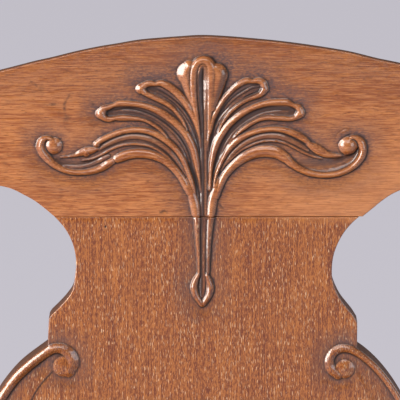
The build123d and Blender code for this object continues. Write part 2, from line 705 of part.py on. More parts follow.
def all_pieces():
    """Every node by name: one solid, or a list of them for the pegs."""
    pieces = {
        "crest_rail": crest_rail(),
        "splat": splat(),
        "lower_back_rail": lower_back_rail(),
        "crest_pegs": back_pegs(crest_peg),
        "lower_back_rail_pegs": back_pegs(lower_rail_peg),
        "seat_rail_pegs": frame_pegs("seat_rail"),
        "stretcher_pegs": frame_pegs("stretcher"),
        "arm_pegs": [peg(*place) for side in SIDES.values() for place in arm_pegs(side)],
        "seat_board_pegs": [],
    }
    for name, side in SIDES.items():
        pieces["stile_" + name] = stile(side)
        pieces["front_leg_" + name] = front_leg(side)
        pieces["arm_" + name] = arm(side)
        for level in frame_levels():
            pieces[level + "_" + name] = side_rail(level, side)
    for level in frame_levels():
        pieces[level + "_front"] = cross_rail(level, True)
        pieces[level + "_back"] = cross_rail(level, False)
    for name in ("front", "middle", "back"):
        pieces["seat_board_" + name] = seat_board(name)
        pieces["seat_board_pegs"] += [peg(*place) for place in seat_pegs(name)]
    return pieces


def main():
    """Write every node, with the origin under the middle of the chair's outline."""
    os.makedirs("parts", exist_ok=True)
    pieces = all_pieces()
    solids = [solid for made in pieces.values() for solid in (made if isinstance(made, list) else [made])]
    boxes = [solid.bounding_box() for solid in solids]
    centre = Pos(
        -(min(box.min.X for box in boxes) + max(box.max.X for box in boxes)) / 2,
        -(min(box.min.Y for box in boxes) + max(box.max.Y for box in boxes)) / 2,
        -min(box.min.Z for box in boxes),
    )
    for name, made in pieces.items():
        shape = Compound([centre * solid for solid in made]) if isinstance(made, list) else centre * made
        export_step(shape, "parts/" + name + ".step")


main()
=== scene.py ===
import math

import bpy
import numpy as np
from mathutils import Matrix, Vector
from mathutils.geometry import delaunay_2d_cdt
from mathutils.kdtree import KDTree

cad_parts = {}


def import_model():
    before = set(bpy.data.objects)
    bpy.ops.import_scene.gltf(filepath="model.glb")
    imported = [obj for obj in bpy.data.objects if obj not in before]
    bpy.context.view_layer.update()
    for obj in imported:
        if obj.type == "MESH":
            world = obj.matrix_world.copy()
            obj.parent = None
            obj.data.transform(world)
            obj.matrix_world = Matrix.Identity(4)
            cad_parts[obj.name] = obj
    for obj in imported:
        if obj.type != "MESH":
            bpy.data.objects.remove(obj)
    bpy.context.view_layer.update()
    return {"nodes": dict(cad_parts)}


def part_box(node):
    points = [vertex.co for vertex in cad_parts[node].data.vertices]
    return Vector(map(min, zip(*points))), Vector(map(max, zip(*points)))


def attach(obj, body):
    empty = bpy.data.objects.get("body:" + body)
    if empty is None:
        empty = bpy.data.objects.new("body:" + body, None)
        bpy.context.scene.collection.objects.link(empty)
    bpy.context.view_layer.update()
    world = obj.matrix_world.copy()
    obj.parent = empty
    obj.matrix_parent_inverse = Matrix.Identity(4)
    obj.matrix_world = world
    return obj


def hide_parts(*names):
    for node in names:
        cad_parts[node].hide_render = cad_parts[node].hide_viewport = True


# Joined armchair with a carved serpentine crest rail and a shaped splat. The carved back boards and
# the turned front legs are modelled here; every other part is the CAD node with a finish.
# Metres, +Z up, the sitter faces -Y. On the back, u runs across and v up the leaning face from the
# joint between splat and crest rail, both in millimetres; depth runs behind that face.

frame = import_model()
NODES = frame["nodes"]

MM = 0.001
BACK_RAKE = math.radians(7.0)
SEAT_TOP = 0.445
JOINT_HEIGHT = 0.545
FACE_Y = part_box("stile_left")[0].y

# Camera; lengths in metres unless a comment says otherwise
CAMERA_ELEVATION = math.radians(19.5)
CAMERA_DISTANCE = 1.8
VIEW_WIDTH = 0.2                # across the board at that distance
PICTURE_SIDE = 400.0
SENSOR = 36                     # millimetres
VIEW_CENTRE = (-1.5, 8.7)       # u, v at the middle of the picture

# Carving, in millimetres
CREST_GRID = (-96, 96, -6, 88)  # left, right, low and high limits of the carved part
SPLAT_GRID = (-126, 126, -262, 8)
CELL = 0.25                     # grid of the carved faces
RELIEF = 0.45                   # share of the heights in the tables
SINK = 0.45                     # ground lowered round the carving
SINK_START = -0.5
SINK_REACH = 7.5
MM_PER_PIXEL = 0.5
STROKE_STEP = 0.5               # between the points of a stroke
RIDGE_DEPTH = -0.9              # faces the camera sees: ridges stand proud of the board
SCROLL_DEPTH = -0.7
FAR_OFF = 99.0                  # stands for no ridge near
RIDGE_MARGIN = SINK_REACH + 3
GROOVE_MARGIN = 14.0
SHADE_MARGIN = 5.0
VEIN_MARGIN = 3.0
HOLLOW_CROWN = 0.8              # section of a scooped hollow
HOLLOW_SHADOW = (0.55, 0.4)     # painted shadow line of a hollow: how far up, and how wide, in half widths
TOOL_SOFTNESS = 0.18            # blur of the cut surface
DETAIL_WIDTH = 0.5              # blur of the slope that asks for small triangles
CROWDED_WIDTH = 1.7             # ridges nearer than this leave a dark gap
CREASE_WIDTH = 0.45
SHADED_WIDTH = 0.4
WAX_AND_SHADE_SOFTNESS = 0.2
WAX_AND_SHADE_EDGE = (0.75, 1.25)         # a dark streak of wax and painted shade fades over this, in half widths
GAP_WAX_AND_SHADE = 0.65                  # strength of the wax and painted shade between near ridges
GAP_CROWD = (0.42, 0.62)        # share of ridge near by: no darkening, full darkening
GAP_EDGE = (-0.7, 0.3)          # from the edge of the ridge
GAP_DEPTH = (0.2, 0.6)          # deeper cuts are darkened on their own
CREASE_DIRT_AND_SHADE = (12.0, 0.15, 0.95)    # gain, start and most of the darkening in creases: dirt and painted shade
LIT_SIDE_DARKENING = 0.45                 # share of the crease darkening on sides that face the light; the rest is painted shade
LIT_SIDE = (-0.9, 0.5)
RIDGE_HAZE = 0.15               # share of the haze on the ridges
HAZE_EDGE = (-0.8, 0.4)
HAZE_WIDE = (0.62, 9.0)         # strength and reach of the smoky polish round the carving
HAZE_NEAR = (0.42, 2.0)
TOP_DARKENING = (0.38, 35, 85)       # strength, and where it starts and is full, up the board
PALE_UP = (10, 55)              # paler ground: full below, gone above
PALE_ACROSS = (0, 75)
PALE_EDGE = (-0.5, 4.0)
PALE_FOOT = -3                  # none below this


# ---- places on the leaning back ----

def on_back(u, v, depth):
    """World point for a place on the back, from millimetres."""
    up = JOINT_HEIGHT + v * MM
    back = depth * MM
    return (
        u * MM,
        FACE_Y + up * math.sin(BACK_RAKE) + back * math.cos(BACK_RAKE),
        SEAT_TOP + up * math.cos(BACK_RAKE) - back * math.sin(BACK_RAKE),
    )


def board(points, depth=0.0):
    """Places on the back that show at the given points of a 400 pixel picture.

    A point is (x, y, ...), y down; numbers after the first two are kept as they are.
    """
    rows = np.array(points, float)
    tilt = CAMERA_ELEVATION - BACK_RAKE
    spread = VIEW_WIDTH / 2 / CAMERA_DISTANCE
    half = PICTURE_SIDE / 2
    across = (rows[:, 0] - half) / half * spread
    up = (half - rows[:, 1]) / half * spread
    distance = CAMERA_DISTANCE / MM
    travel = (depth + distance * math.cos(tilt)) / (math.cos(tilt) + up * math.sin(tilt))
    u = VIEW_CENTRE[0] + travel * across
    v = VIEW_CENTRE[1] + distance * math.sin(tilt) + travel * (up * math.cos(tilt) - math.sin(tilt))
    return np.column_stack([u, v, rows[:, 2:]])


# ---- curves ----

def smooth(points, step):
    """Even points along a smooth curve through the given ones; further numbers are carried along."""
    rows = np.array(points, float)
    run = np.concatenate([[0], np.cumsum(np.hypot(*np.diff(rows[:, :2], axis=0).T))])
    slope = np.gradient(rows, run, axis=0)
    at = np.linspace(0, run[-1], max(2, round(run[-1] / step) + 1))
    left = np.clip(np.searchsorted(run, at, side="right") - 1, 0, len(run) - 2)
    gap = (run[left + 1] - run[left])[:, None]
    t = (at - run[left])[:, None] / gap
    start = rows[left] * (1 + 2 * t) * (1 - t) ** 2 + slope[left] * gap * t * (1 - t) ** 2
    end = rows[left + 1] * t ** 2 * (3 - 2 * t) + slope[left + 1] * gap * t ** 2 * (t - 1)
    return start + end


def stroke(points, depth=RIDGE_DEPTH):
    """Chisel stroke from picture points (x, y, half width in pixels, height in mm) to the back."""
    rows = board(points, depth)
    rows[:, 2] *= MM_PER_PIXEL
    rows[:, 3] *= RELIEF
    return smooth(rows, STROKE_STEP)


def step_up(x, low, high):
    """Smooth step from 0 at low to 1 at high."""
    t = np.clip((x - low) / (high - low), 0, 1)
    return t * t * (3 - 2 * t)


# ---- carved faces ----

def upward(path):
    """Unit normals of a path on the side that points up the back."""
    ahead = np.gradient(path, axis=0)
    ahead /= np.linalg.norm(ahead, axis=1)[:, None]
    normal = np.column_stack([-ahead[:, 1], ahead[:, 0]])
    return normal * np.where(normal[:, 1:] < 0, -1, 1)


def blur(grid, radius):
    """Gaussian blur of a grid, radius in millimetres."""
    rows = np.fft.fftfreq(grid.shape[0], CELL)[:, None]
    columns = np.fft.rfftfreq(grid.shape[1], CELL)[None, :]
    keep = np.exp(-2 * (math.pi * radius) ** 2 * (rows ** 2 + columns ** 2))
    return np.fft.irfft2(np.fft.rfft2(grid) * keep, grid.shape)


class Carving:
    """Height of a carved face over the board it is cut from, on a fine grid."""

    def __init__(self, left, right, low, high):
        self.u = np.arange(left, right, CELL)
        self.v = np.arange(low, high, CELL)
        shape = (len(self.v), len(self.u))
        self.clear = np.full(shape, FAR_OFF)    # distance to the nearest ridge
        self.ridges = np.full(shape, -FAR_OFF)
        self.cut = np.zeros(shape)
        self.veins = np.zeros(shape)
        self.wax_and_shade = np.zeros(shape)

    def reach(self, a, b, margin):
        """Part of the grid round one straight piece of a stroke, and each point's place along it."""
        low = np.minimum(a[:2], b[:2]) - margin
        high = np.maximum(a[:2], b[:2]) + margin
        columns = slice(*np.searchsorted(self.u, (low[0], high[0])))
        rows = slice(*np.searchsorted(self.v, (low[1], high[1])))
        du = self.u[columns][None, :] - a[0]
        dv = self.v[rows][:, None] - a[1]
        along = b[:2] - a[:2]
        t = np.clip((du * along[0] + dv * along[1]) / max(along @ along, 1e-9), 0, 1)
        off = np.hypot(du - t * along[0], dv - t * along[1])
        half = a[2] + t * (b[2] - a[2])
        return (rows, columns), off, half, a[3] + t * (b[3] - a[3])

    def ridge(self, path, crown, power):
        """Ridge along a stroke of (u, v, half width, height); a high power gives it a flat top."""
        for a, b in zip(path[:-1], path[1:]):
            part, off, half, top = self.reach(a, b, RIDGE_MARGIN)
            swell = np.clip(1 - (off / half) ** power, 0, 1) ** crown
            body = np.where(off < half, (top + SINK) * swell - SINK, -FAR_OFF)
            self.ridges[part] = np.maximum(self.ridges[part], body)
            self.clear[part] = np.minimum(self.clear[part], off - half)

    def groove(self, path, crown=1.0, power=2.0):
        """Groove or hollow along a stroke; the fourth number is its depth."""
        for a, b in zip(path[:-1], path[1:]):
            part, off, half, deep = self.reach(a, b, GROOVE_MARGIN)
            swell = np.clip(1 - (off / half) ** power, 0, 1) ** crown
            self.cut[part] = np.maximum(self.cut[part], deep * swell)

    def hollow(self, path, dark):
        """Scooped hollow between two ridges, darkened, with a painted shadow under the upper one."""
        self.groove(path, HOLLOW_CROWN)
        self.shade(path, dark)
        # Painted shadow along the hollow, under the upper ridge.
        up, width = HOLLOW_SHADOW
        shadow = path.copy()
        shadow[:, :2] += upward(path[:, :2]) * up * path[:, 2:3]
        shadow[:, 2] *= width
        self.shade(shadow, 1.0)

    def shade(self, path, dark):
        """Darkening along a stroke: wax and dirt in some strokes, painted shade in others."""
        for a, b in zip(path[:-1], path[1:]):
            part, off, half, _ = self.reach(a, b, SHADE_MARGIN)
            darkness = dark * (1 - step_up(off / half, *WAX_AND_SHADE_EDGE))
            self.wax_and_shade[part] = np.maximum(self.wax_and_shade[part], darkness)

    def vein(self, path):
        """Thin raised line in the bottom of a hollow."""
        for a, b in zip(path[:-1], path[1:]):
            part, off, half, top = self.reach(a, b, VEIN_MARGIN)
            line = top * np.clip(1 - (off / half) ** 2, 0, 1)
            self.veins[part] = np.maximum(self.veins[part], line)

    def finish(self):
        """Join ground, ridges and grooves, then work out where wax, dirt, haze, painted shade and paler
        ground lie.
        """
        ground = -SINK * (1 - step_up(self.clear, SINK_START, SINK_REACH))
        whole = np.maximum(ground, self.ridges) - self.cut + self.veins
        self.height = blur(whole, TOOL_SOFTNESS)
        self.detail = blur(np.hypot(*np.gradient(self.height, CELL)), DETAIL_WIDTH)
        self.gather_grime_and_shade()
        self.gather_haze()

    def gather_grime_and_shade(self):
        """Wax and painted shade in the gaps between near ridges, dirt and painted shade in creases, most
        on the sides turned from the light.
        """
        ridge = blur((self.clear < 0).astype(float), CROWDED_WIDTH)
        between = step_up(ridge, *GAP_CROWD) * step_up(self.clear, *GAP_EDGE)
        between *= 1 - step_up(self.cut, *GAP_DEPTH)
        darkness = np.maximum(blur(self.wax_and_shade, WAX_AND_SHADE_SOFTNESS), between * GAP_WAX_AND_SHADE)
        self.wax_and_shade = np.clip(darkness - self.veins, 0, 1)
        crease = blur(self.height, CREASE_WIDTH) - self.height
        rise_v, rise_u = np.gradient(blur(self.height, SHADED_WIDTH), CELL)
        # Painted shade: crease darkening is full on sides turned from the key light at the upper left,
        # less on lit ones.
        below = (rise_v - rise_u) / (np.hypot(rise_v, rise_u) + 0.05)
        gain, start, most = CREASE_DIRT_AND_SHADE
        dirt_and_shade = np.clip(crease * gain - start, 0, most)
        self.cavity = dirt_and_shade * (LIT_SIDE_DARKENING + (1 - LIT_SIDE_DARKENING) * step_up(below, *LIT_SIDE))

    def gather_haze(self):
        """Smoky polish round the carving, the colour darker towards the top of the board, and paler
        ground low on the right.
        """
        away = np.clip(self.clear, 0, FAR_OFF)
        self.haze = HAZE_WIDE[0] * np.exp(-away / HAZE_WIDE[1])
        self.haze += HAZE_NEAR[0] * np.exp(-away / HAZE_NEAR[1])
        self.haze += TOP_DARKENING[0] * step_up(self.v, *TOP_DARKENING[1:])[:, None]
        self.haze *= RIDGE_HAZE + (1 - RIDGE_HAZE) * step_up(self.clear, *HAZE_EDGE)
        low = (1 - step_up(self.v, *PALE_UP)) * (self.v > PALE_FOOT)
        across = step_up(self.u, *PALE_ACROSS)
        self.pale = across[None, :] * low[:, None] * step_up(self.clear, *PALE_EDGE)

    def at(self, grid, u, v):
        """Value of one of the grids at places on the board."""
        x = np.clip((u - self.u[0]) / CELL, 0, len(self.u) - 1.001)
        y = np.clip((v - self.v[0]) / CELL, 0, len(self.v) - 1.001)
        i, j = y.astype(int), x.astype(int)
        fy, fx = y - i, x - j
        low = grid[i, j] * (1 - fx) + grid[i, j + 1] * fx
        high = grid[i + 1, j] * (1 - fx) + grid[i + 1, j + 1] * fx
        return low * (1 - fy) + high * fy


# The carving is read from the photograph as strokes: points (x, y, half width, height) with x, y
# and half width in pixels of the picture and the height or depth in millimetres. Left and right are
# the picture's. Paths run from the tip of a leaf to the stem.

# Ridges: the middle lobe, the leaves of the left side and of the right side, the stem.
CENTRE_RIM = [
    (200.8, 146, 0.7, 0.3), (200, 138, 1.3, 1), (198.4, 128, 2, 1.7), (196.6, 117, 2.8, 2.4),
    (194.9, 105, 3.5, 3.2), (193.8, 95, 4.2, 3.6), (193.2, 85, 4.7, 4), (193.2, 76, 5.1, 4.3),
    (194.6, 68.5, 5.2, 4.6), (198, 63, 4.8, 4.6), (203, 60.8, 5, 4.5), (207.8, 62.4, 5.6, 4.6),
    (210.6, 67, 6.2, 4.7), (211.2, 74, 6.2, 4.7), (211.1, 83, 5.8, 4.3), (210.8, 93, 5, 3.8),
    (210.4, 102, 4.2, 3.2), (209.9, 111, 3.4, 2.7), (209.4, 118, 2.6, 2.2), (208.9, 128, 1.7, 1.5),
    (208.5, 138, 1, 0.6), (208.3, 146, 0.6, 0.2),
]
CENTRE_FLANK_LEFT = [
    (189, 66.5, 6.2, 4.4), (186, 73.4, 9.4, 4.9), (187, 80, 7.4, 4.2), (188.4, 89, 5.2, 2.6),
    (190.4, 98, 3.6, 2), (192.5, 106, 2, 1.4),
]
CENTRE_FLANK_RIGHT = [
    (215.4, 69.6, 6.8, 4.2), (218, 73.4, 9.6, 4.2), (217.6, 80, 9, 4), (216, 90, 7.3, 3.5),
    (213.9, 100, 5.5, 2.9), (212, 109, 3.9, 2.3),
]
CENTRE_BED = [
    (203, 68, 5.2, 4.6), (203, 76, 6.6, 4.5), (203, 90, 6.4, 3.9), (203, 104, 5.2, 3.2),
    (203.4, 116, 4, 2.5), (203.7, 128, 3.6, 1.9), (203.8, 145, 3.4, 1.6), (204, 170, 3.4, 1.6),
    (204, 217.5, 3.4, 1.6),
]
LEFT_UPPER_TOP = [
    (141.2, 88.5, 4.3, 2.6), (145.5, 85, 3.5, 1.8), (150.5, 83.7, 3.3, 1.8), (155.7, 84.4, 2.5, 1.5),
    (160.5, 83.4, 3.5, 1.9), (166, 85.5, 3.9, 2.1), (172, 89.2, 4, 2.1), (178, 94.3, 4.1, 2.1),
    (183.5, 100.4, 4, 2.1), (188.4, 107.2, 3.9, 2.1), (193.2, 115.5, 3.7, 2), (196.6, 124, 3.2, 1.9),
    (198.8, 132, 2.4, 1.7), (200.2, 140, 1.3, 1), (200.6, 148, 0.7, 0.2),
]
LEFT_UPPER_BASE = [
    (141.2, 89.5, 4.3, 2.5), (146, 94, 3, 1.6), (153, 97.4, 2.9, 1.6), (160, 100.7, 2.9, 1.6),
    (167, 104.4, 2.7, 1.6), (173, 109, 2.4, 1.6), (178.3, 115, 2.2, 1.5), (182.6, 121, 2, 1.4),
    (185.2, 126.4, 1.5, 1.1), (187.2, 130.5, 0.8, 0.4),
]
LEFT_MIDDLE_TOP = [
    (100.6, 113.5, 5, 2.8), (104, 109.2, 3.5, 1.8), (108.5, 107.6, 2.9, 1.7), (113.2, 105.9, 2.3, 1.5),
    (118.5, 104.1, 3.2, 1.8), (125, 103.9, 3.2, 1.9), (132, 104.2, 3.1, 1.9), (140, 105.2, 3.2, 1.9),
    (147.5, 107, 3.3, 1.9), (155, 109.8, 3.6, 2), (162, 113.4, 3.9, 2.1), (169, 118.2, 3.9, 2.1),
    (175.8, 123.8, 3.8, 2.1), (181.4, 129.3, 3.8, 2.1), (186.2, 134.8, 4, 2.1), (190, 141.4, 4, 2.1),
    (193.6, 149.8, 3.9, 2.1), (196, 160, 3.5, 2), (197.8, 170, 2.9, 1.9), (199.6, 180, 1.8, 1.6),
    (200.7, 191, 0.8, 0.4),
]
LEFT_MIDDLE_BASE = [
    (100.8, 115, 5, 2.7), (105.5, 119, 3.2, 1.7), (110, 119.9, 2.8, 1.6), (114.5, 118.9, 2.3, 1.5),
    (120, 118.4, 3.1, 1.7), (127, 118.4, 3, 1.7), (134, 118.9, 2.5, 1.5), (140, 119.6, 2.1, 1.4),
    (146, 121.2, 1.9, 1.3), (152, 124.4, 1.9, 1.3), (157.5, 128, 1.9, 1.3), (162.5, 132.4, 1.7, 1.3),
    (166, 136.4, 1.3, 1), (168.6, 139.6, 0.8, 0.4),
]
LEFT_LOWER_TOP = [
    (95.5, 145, 2.6, 1.8), (101, 140.8, 3, 1.9), (108.5, 137.1, 3.1, 1.9), (116, 134, 3.2, 1.9),
    (124, 131.6, 3.2, 1.9), (132, 130.4, 3.3, 1.9), (140, 130.4, 3.3, 1.9), (148, 131.6, 3.4, 2),
    (156, 134.6, 3.5, 2), (163.5, 139, 3.5, 2.1), (170, 144, 3.4, 2.1), (176, 149.8, 3.3, 2.1),
    (180.6, 155.8, 3.2, 2.1), (184.2, 162.6, 3.1, 2.1), (187.2, 170, 3, 2.1), (190.2, 178.4, 3, 2),
    (192.6, 186, 2.7, 1.9), (194.4, 193, 2.2, 1.5),
]
LEFT_LOWER_REED = [
    (99, 150.5, 1.2, 0.2), (104, 147, 1.9, 0.4), (111, 143.1, 2.4, 0.5), (120, 139.6, 2.6, 0.5),
    (129, 137.6, 2.7, 0.5), (138, 137.4, 2.6, 0.5), (147, 139, 2.6, 0.5), (156, 142.4, 2.5, 0.5),
    (164, 147.4, 2.4, 0.5), (171, 153.4, 2.2, 0.5), (177, 160.8, 1.9, 0.5), (182, 168.6, 1.5, 0.4),
    (186.4, 176.6, 0.9, 0.2),
]
LEFT_LOWER_THREAD = [
    (82, 161, 0.9, 0.2), (92, 159.3, 1.2, 0.4), (101, 155.5, 1.3, 0.5), (110, 150.3, 1.4, 0.6),
    (119, 146.6, 1.4, 0.7), (128, 144.8, 1.4, 0.7), (138, 144.6, 1.4, 0.7), (148, 146.2, 1.4, 0.7),
    (157, 149.8, 1.4, 0.7), (165, 155.2, 1.3, 0.7), (172, 162, 1.2, 0.6), (178, 169.6, 1.1, 0.5),
    (182.6, 177, 0.8, 0.2),
]
LEFT_LOWER_BASE = [
    (117, 159.3, 4.3, 2), (121, 157.6, 5, 2.1), (127, 155.4, 5.3, 2.2), (134, 154, 5.2, 2.2),
    (142, 153.9, 5.1, 2.2), (150, 155, 4.8, 2.2), (158, 157.6, 4.5, 2.2), (165.5, 161.5, 4.4, 2.2),
    (172.4, 167, 4.3, 2.2), (178, 173.2, 4.2, 2.2), (182.6, 179.8, 4.2, 2.1), (186.4, 186.8, 4.2, 2.1),
    (189.6, 193.6, 3.6, 1.8),
]
LEFT_SCROLL = [
    (112.5, 161.6, 3.6, 1.9), (108, 164.4, 4.1, 2.1), (102, 168.2, 3.9, 2.1), (94, 171.2, 3.5, 2.1),
    (85, 172.8, 3.2, 2.1), (76, 172.9, 3.2, 2.1), (67, 171.4, 3.3, 2.1), (59, 168, 3.6, 2.2),
    (52, 163.3, 4.1, 2.2), (46.5, 157.8, 4.8, 2.8), (41.9, 151.3, 5.2, 3.4), (40.6, 145.5, 4.9, 3.4),
    (42.2, 140.8, 4.1, 3), (46.2, 138.6, 2.9, 2.3), (50.5, 139.2, 2.5, 2.3), (54, 141.4, 2.2, 2.4),
]
LEFT_BUD = [
    (61, 157.6, 0.9, 0.5), (69, 157, 1.3, 0.8), (75.5, 155.6, 2.2, 1.3), (81.5, 153, 3.9, 1.9),
    (87.5, 151.6, 4.5, 2.1), (93, 150.5, 3.4, 1.7), (97.5, 149.3, 1.9, 1.1),
]
LEFT_BALL = (53.7, 146.2, 8.8, 3.0)
LEAF_TIPS = [
    (140.6, 89.2, 5.4, 2.9), (101, 114, 6, 3.2), (96.6, 144.6, 3.8, 2.4), (86, 152.3, 5.2, 2.8),
]
RIGHT_UPPER_TOP = [
    (264.3, 88, 4.5, 1.9), (262.8, 83.2, 4.1, 1.9), (258, 81.1, 3.6, 1.8), (252.4, 81.8, 2.6, 1.5),
    (247, 81.1, 3.5, 1.9), (241, 83.6, 3.5, 2), (235, 87.8, 3.2, 2.1), (229.4, 93.2, 3, 2.1),
    (223.8, 99.6, 3, 2.1), (219.4, 106.2, 3, 2.1), (215.3, 113.6, 3.2, 2), (212.2, 120.5, 3.1, 2),
    (210.2, 129, 2.7, 1.9), (208.7, 136, 1.9, 1.6), (207.4, 144, 1.2, 1), (206.9, 152, 0.7, 0.3),
]
RIGHT_UPPER_BASE = [
    (264.5, 89.5, 4.5, 1.8), (261.5, 94, 3.2, 1.6), (256, 96.8, 2.7, 1.5), (249, 99.2, 2.6, 1.5),
    (242, 102.8, 2.5, 1.6), (235.5, 107.6, 2.5, 1.6), (230, 112.5, 2.4, 1.6), (225.8, 117.8, 2.3, 1.6),
    (222.6, 122.6, 2.1, 1.6), (220.2, 128, 1.4, 1.2), (218.4, 133, 0.7, 0.3),
]
RIGHT_MIDDLE_TOP = [
    (300.3, 112.5, 4.7, 1.9), (298.6, 108, 3.7, 1.8), (293.4, 105.6, 2.6, 1.5), (287, 102.9, 3.7, 1.8),
    (279, 102.7, 3.7, 1.9), (271, 103, 3.6, 1.9), (263, 104.6, 3.4, 1.9), (255, 107.3, 3.3, 2),
    (247.6, 110.6, 3.3, 2), (240.5, 115, 3.4, 2.1), (234.4, 119.8, 3.5, 2.1), (229, 124.6, 3.7, 2.2),
    (224.6, 130, 4, 2.2), (220.8, 135.8, 4.2, 2.2), (217.4, 142, 4.1, 2.2), (214.6, 149.4, 3.7, 2.1),
    (212.6, 157, 3.2, 2.1), (211.4, 164, 2.7, 2), (210.7, 171.5, 2.2, 1.9), (210.2, 180, 2, 1.9),
    (209.8, 190, 2.4, 1.8),
]
RIGHT_MIDDLE_BASE = [
    (300.3, 114, 4.7, 1.8), (296.3, 117.6, 3, 1.7), (290, 119.5, 2.4, 1.5), (284, 118.9, 2.8, 1.7),
    (276, 118.6, 2.7, 1.7), (268, 118.2, 2.6, 1.6), (260, 119.7, 2.4, 1.6), (252.5, 123.2, 2.3, 1.6),
    (245.5, 127.8, 2.2, 1.6), (240.4, 131.6, 2, 1.5), (237, 134.8, 1.4, 1.1), (234, 138.4, 0.8, 0.4),
]
RIGHT_LOWER_TOP = [
    (308.5, 143, 2.9, 1.7), (304.3, 139.6, 3.5, 1.9), (298, 135.8, 3.8, 1.9), (290.5, 132.5, 3.7, 1.9),
    (282.5, 130.3, 3.4, 1.9), (274, 129.6, 3.2, 1.9), (265.5, 130.1, 3.1, 1.9), (257, 131.8, 3.1, 1.9),
    (250, 134.2, 3.1, 2), (244, 137, 3.3, 2), (238.6, 140, 3.5, 2.1), (234.2, 143.6, 3.6, 2.1),
    (230.4, 147.8, 3.3, 2.1), (227.2, 152.2, 3, 2.1), (224.6, 156.5, 2.9, 2.1),
    (222.2, 160.8, 2.7, 2.1), (219.9, 165.6, 2.5, 2), (217.7, 170.6, 2.3, 1.9),
    (216.1, 175.6, 2.1, 1.9), (214.9, 181, 1.9, 1.8), (214, 188, 1.6, 1.5),
]
RIGHT_LOWER_REED = [
    (308, 151, 1.4, 0.3), (303, 147.6, 2.1, 0.4), (296, 143.6, 2.5, 0.5), (288, 139.9, 2.7, 0.5),
    (280, 137.3, 2.8, 0.5), (271, 136.4, 2.8, 0.5), (261, 137.6, 2.7, 0.5), (251, 141, 2.6, 0.5),
    (242.4, 146, 2.4, 0.5), (235.4, 151.6, 2.1, 0.5), (230, 157.6, 1.8, 0.5), (225.6, 164, 1.4, 0.4),
    (221.5, 170.6, 1, 0.2),
]
RIGHT_LOWER_THREAD = [
    (322, 159, 0.9, 0.3), (313, 156.8, 1.2, 0.5), (304, 153, 1.3, 0.6), (295, 148.3, 1.3, 0.6),
    (286.5, 144.1, 1.3, 0.6), (278, 141.8, 1.2, 0.6), (269, 141.2, 1.2, 0.6), (259.5, 142.6, 1.2, 0.6),
    (250.5, 146, 1.2, 0.6), (243, 149.6, 1.2, 0.6), (236.4, 154.4, 1.1, 0.6), (231, 159.6, 1, 0.5),
    (226, 165, 0.8, 0.3),
]
RIGHT_LOWER_BASE = [
    (289, 161.3, 4.4, 2.1), (284, 157.3, 5.5, 2.2), (277.5, 153.5, 6.1, 2.3), (269, 151.7, 6.3, 2.3),
    (260, 152, 6.1, 2.3), (251.3, 154.5, 5.7, 2.3), (243, 158.8, 5.1, 2.2), (235.8, 164, 4.5, 2.2),
    (229.6, 170, 4.2, 2.2), (225, 175.8, 4, 2.2), (222, 181.5, 3.9, 2.1), (219, 189, 3.6, 2.1),
    (216, 197, 3.6, 1.9),
]
RIGHT_SCROLL = [
    (286, 158.5, 5.2, 2), (292.5, 164.6, 4.2, 2.1), (300.5, 169.8, 3.5, 2.1), (310.5, 173.7, 3.3, 2.1),
    (321, 175.4, 3.1, 2.1), (331, 175.3, 3.1, 2.1), (341, 173.3, 3.1, 2.1), (350.5, 168.9, 3.3, 2.2),
    (358, 162.4, 3.7, 2.2), (362.4, 155.2, 4, 2.3), (363, 148.5, 4.2, 2.3), (361.2, 142.6, 4.3, 2.4),
    (356.8, 138.7, 3.2, 2.3), (352.4, 137.8, 2.6, 2.3), (348.6, 140.4, 1.8, 2),
]
RIGHT_BUD = [
    (309, 144.5, 3, 1.8), (315, 148.3, 4.7, 2), (321, 152, 4.8, 1.9), (327.5, 155, 3.6, 1.5),
    (334, 156, 2.6, 1.1), (341, 156.2, 1.6, 0.7),
]
RIGHT_BALL = (348.3, 146, 9.9, 4.6)
BALL_ARC = [
    (351, 130.5, 2.2, 0), (345.4, 132.4, 3.6, 1.5), (340.6, 136, 3.6, 1.5), (336.6, 142, 2.2, 0),
]
STEM_BED = [
    (204, 216.5, 3.2, 1.3), (203.3, 245, 2.6, 1.2), (203, 272, 2.3, 1.1), (202.6, 288, 3, 1.1),
    (202.4, 297, 1.8, 1),
]
LEFT_ROOT = [
    (186.6, 179, 0.8, 1), (189.4, 187, 2.6, 1.5), (192, 195, 4.6, 1.9), (194.4, 204, 5.4, 2.1),
    (196.6, 217.5, 4.6, 2.1),
]
RIGHT_ROOT = [
    (218.4, 177, 0.8, 1), (216.4, 186, 2.4, 1.5), (214.4, 194, 4.2, 1.8), (212.4, 204, 4.9, 2),
    (210.7, 217.5, 4.4, 2.1),
]
STEM_LEFT = [
    (197.2, 216.5, 4.1, 2), (197.4, 233, 3.2, 1.9), (198.1, 247, 2.7, 1.8), (198.7, 260, 2.2, 1.7),
    (198.9, 273, 2, 1.6),
]
STEM_RIGHT = [
    (210.6, 216.5, 4.3, 2), (209.4, 230, 3.6, 1.9), (208.5, 245, 2.9, 1.8), (208, 260, 2.4, 1.7),
    (207.8, 273, 2, 1.6),
]
STEM_DROP = [
    (198.6, 275, 2.3, 1.7), (195.6, 280.5, 3.2, 2), (193.9, 288, 3.9, 2.1), (195.6, 295, 3.7, 2.1),
    (199, 300.6, 3.3, 2), (202.3, 305, 2.9, 1.8), (205.7, 301, 3.3, 2), (208.9, 295.4, 3.6, 2.1),
    (210.3, 288.5, 4, 2.1), (209.2, 281.6, 3.4, 2), (207, 275.6, 2.3, 1.7),
]

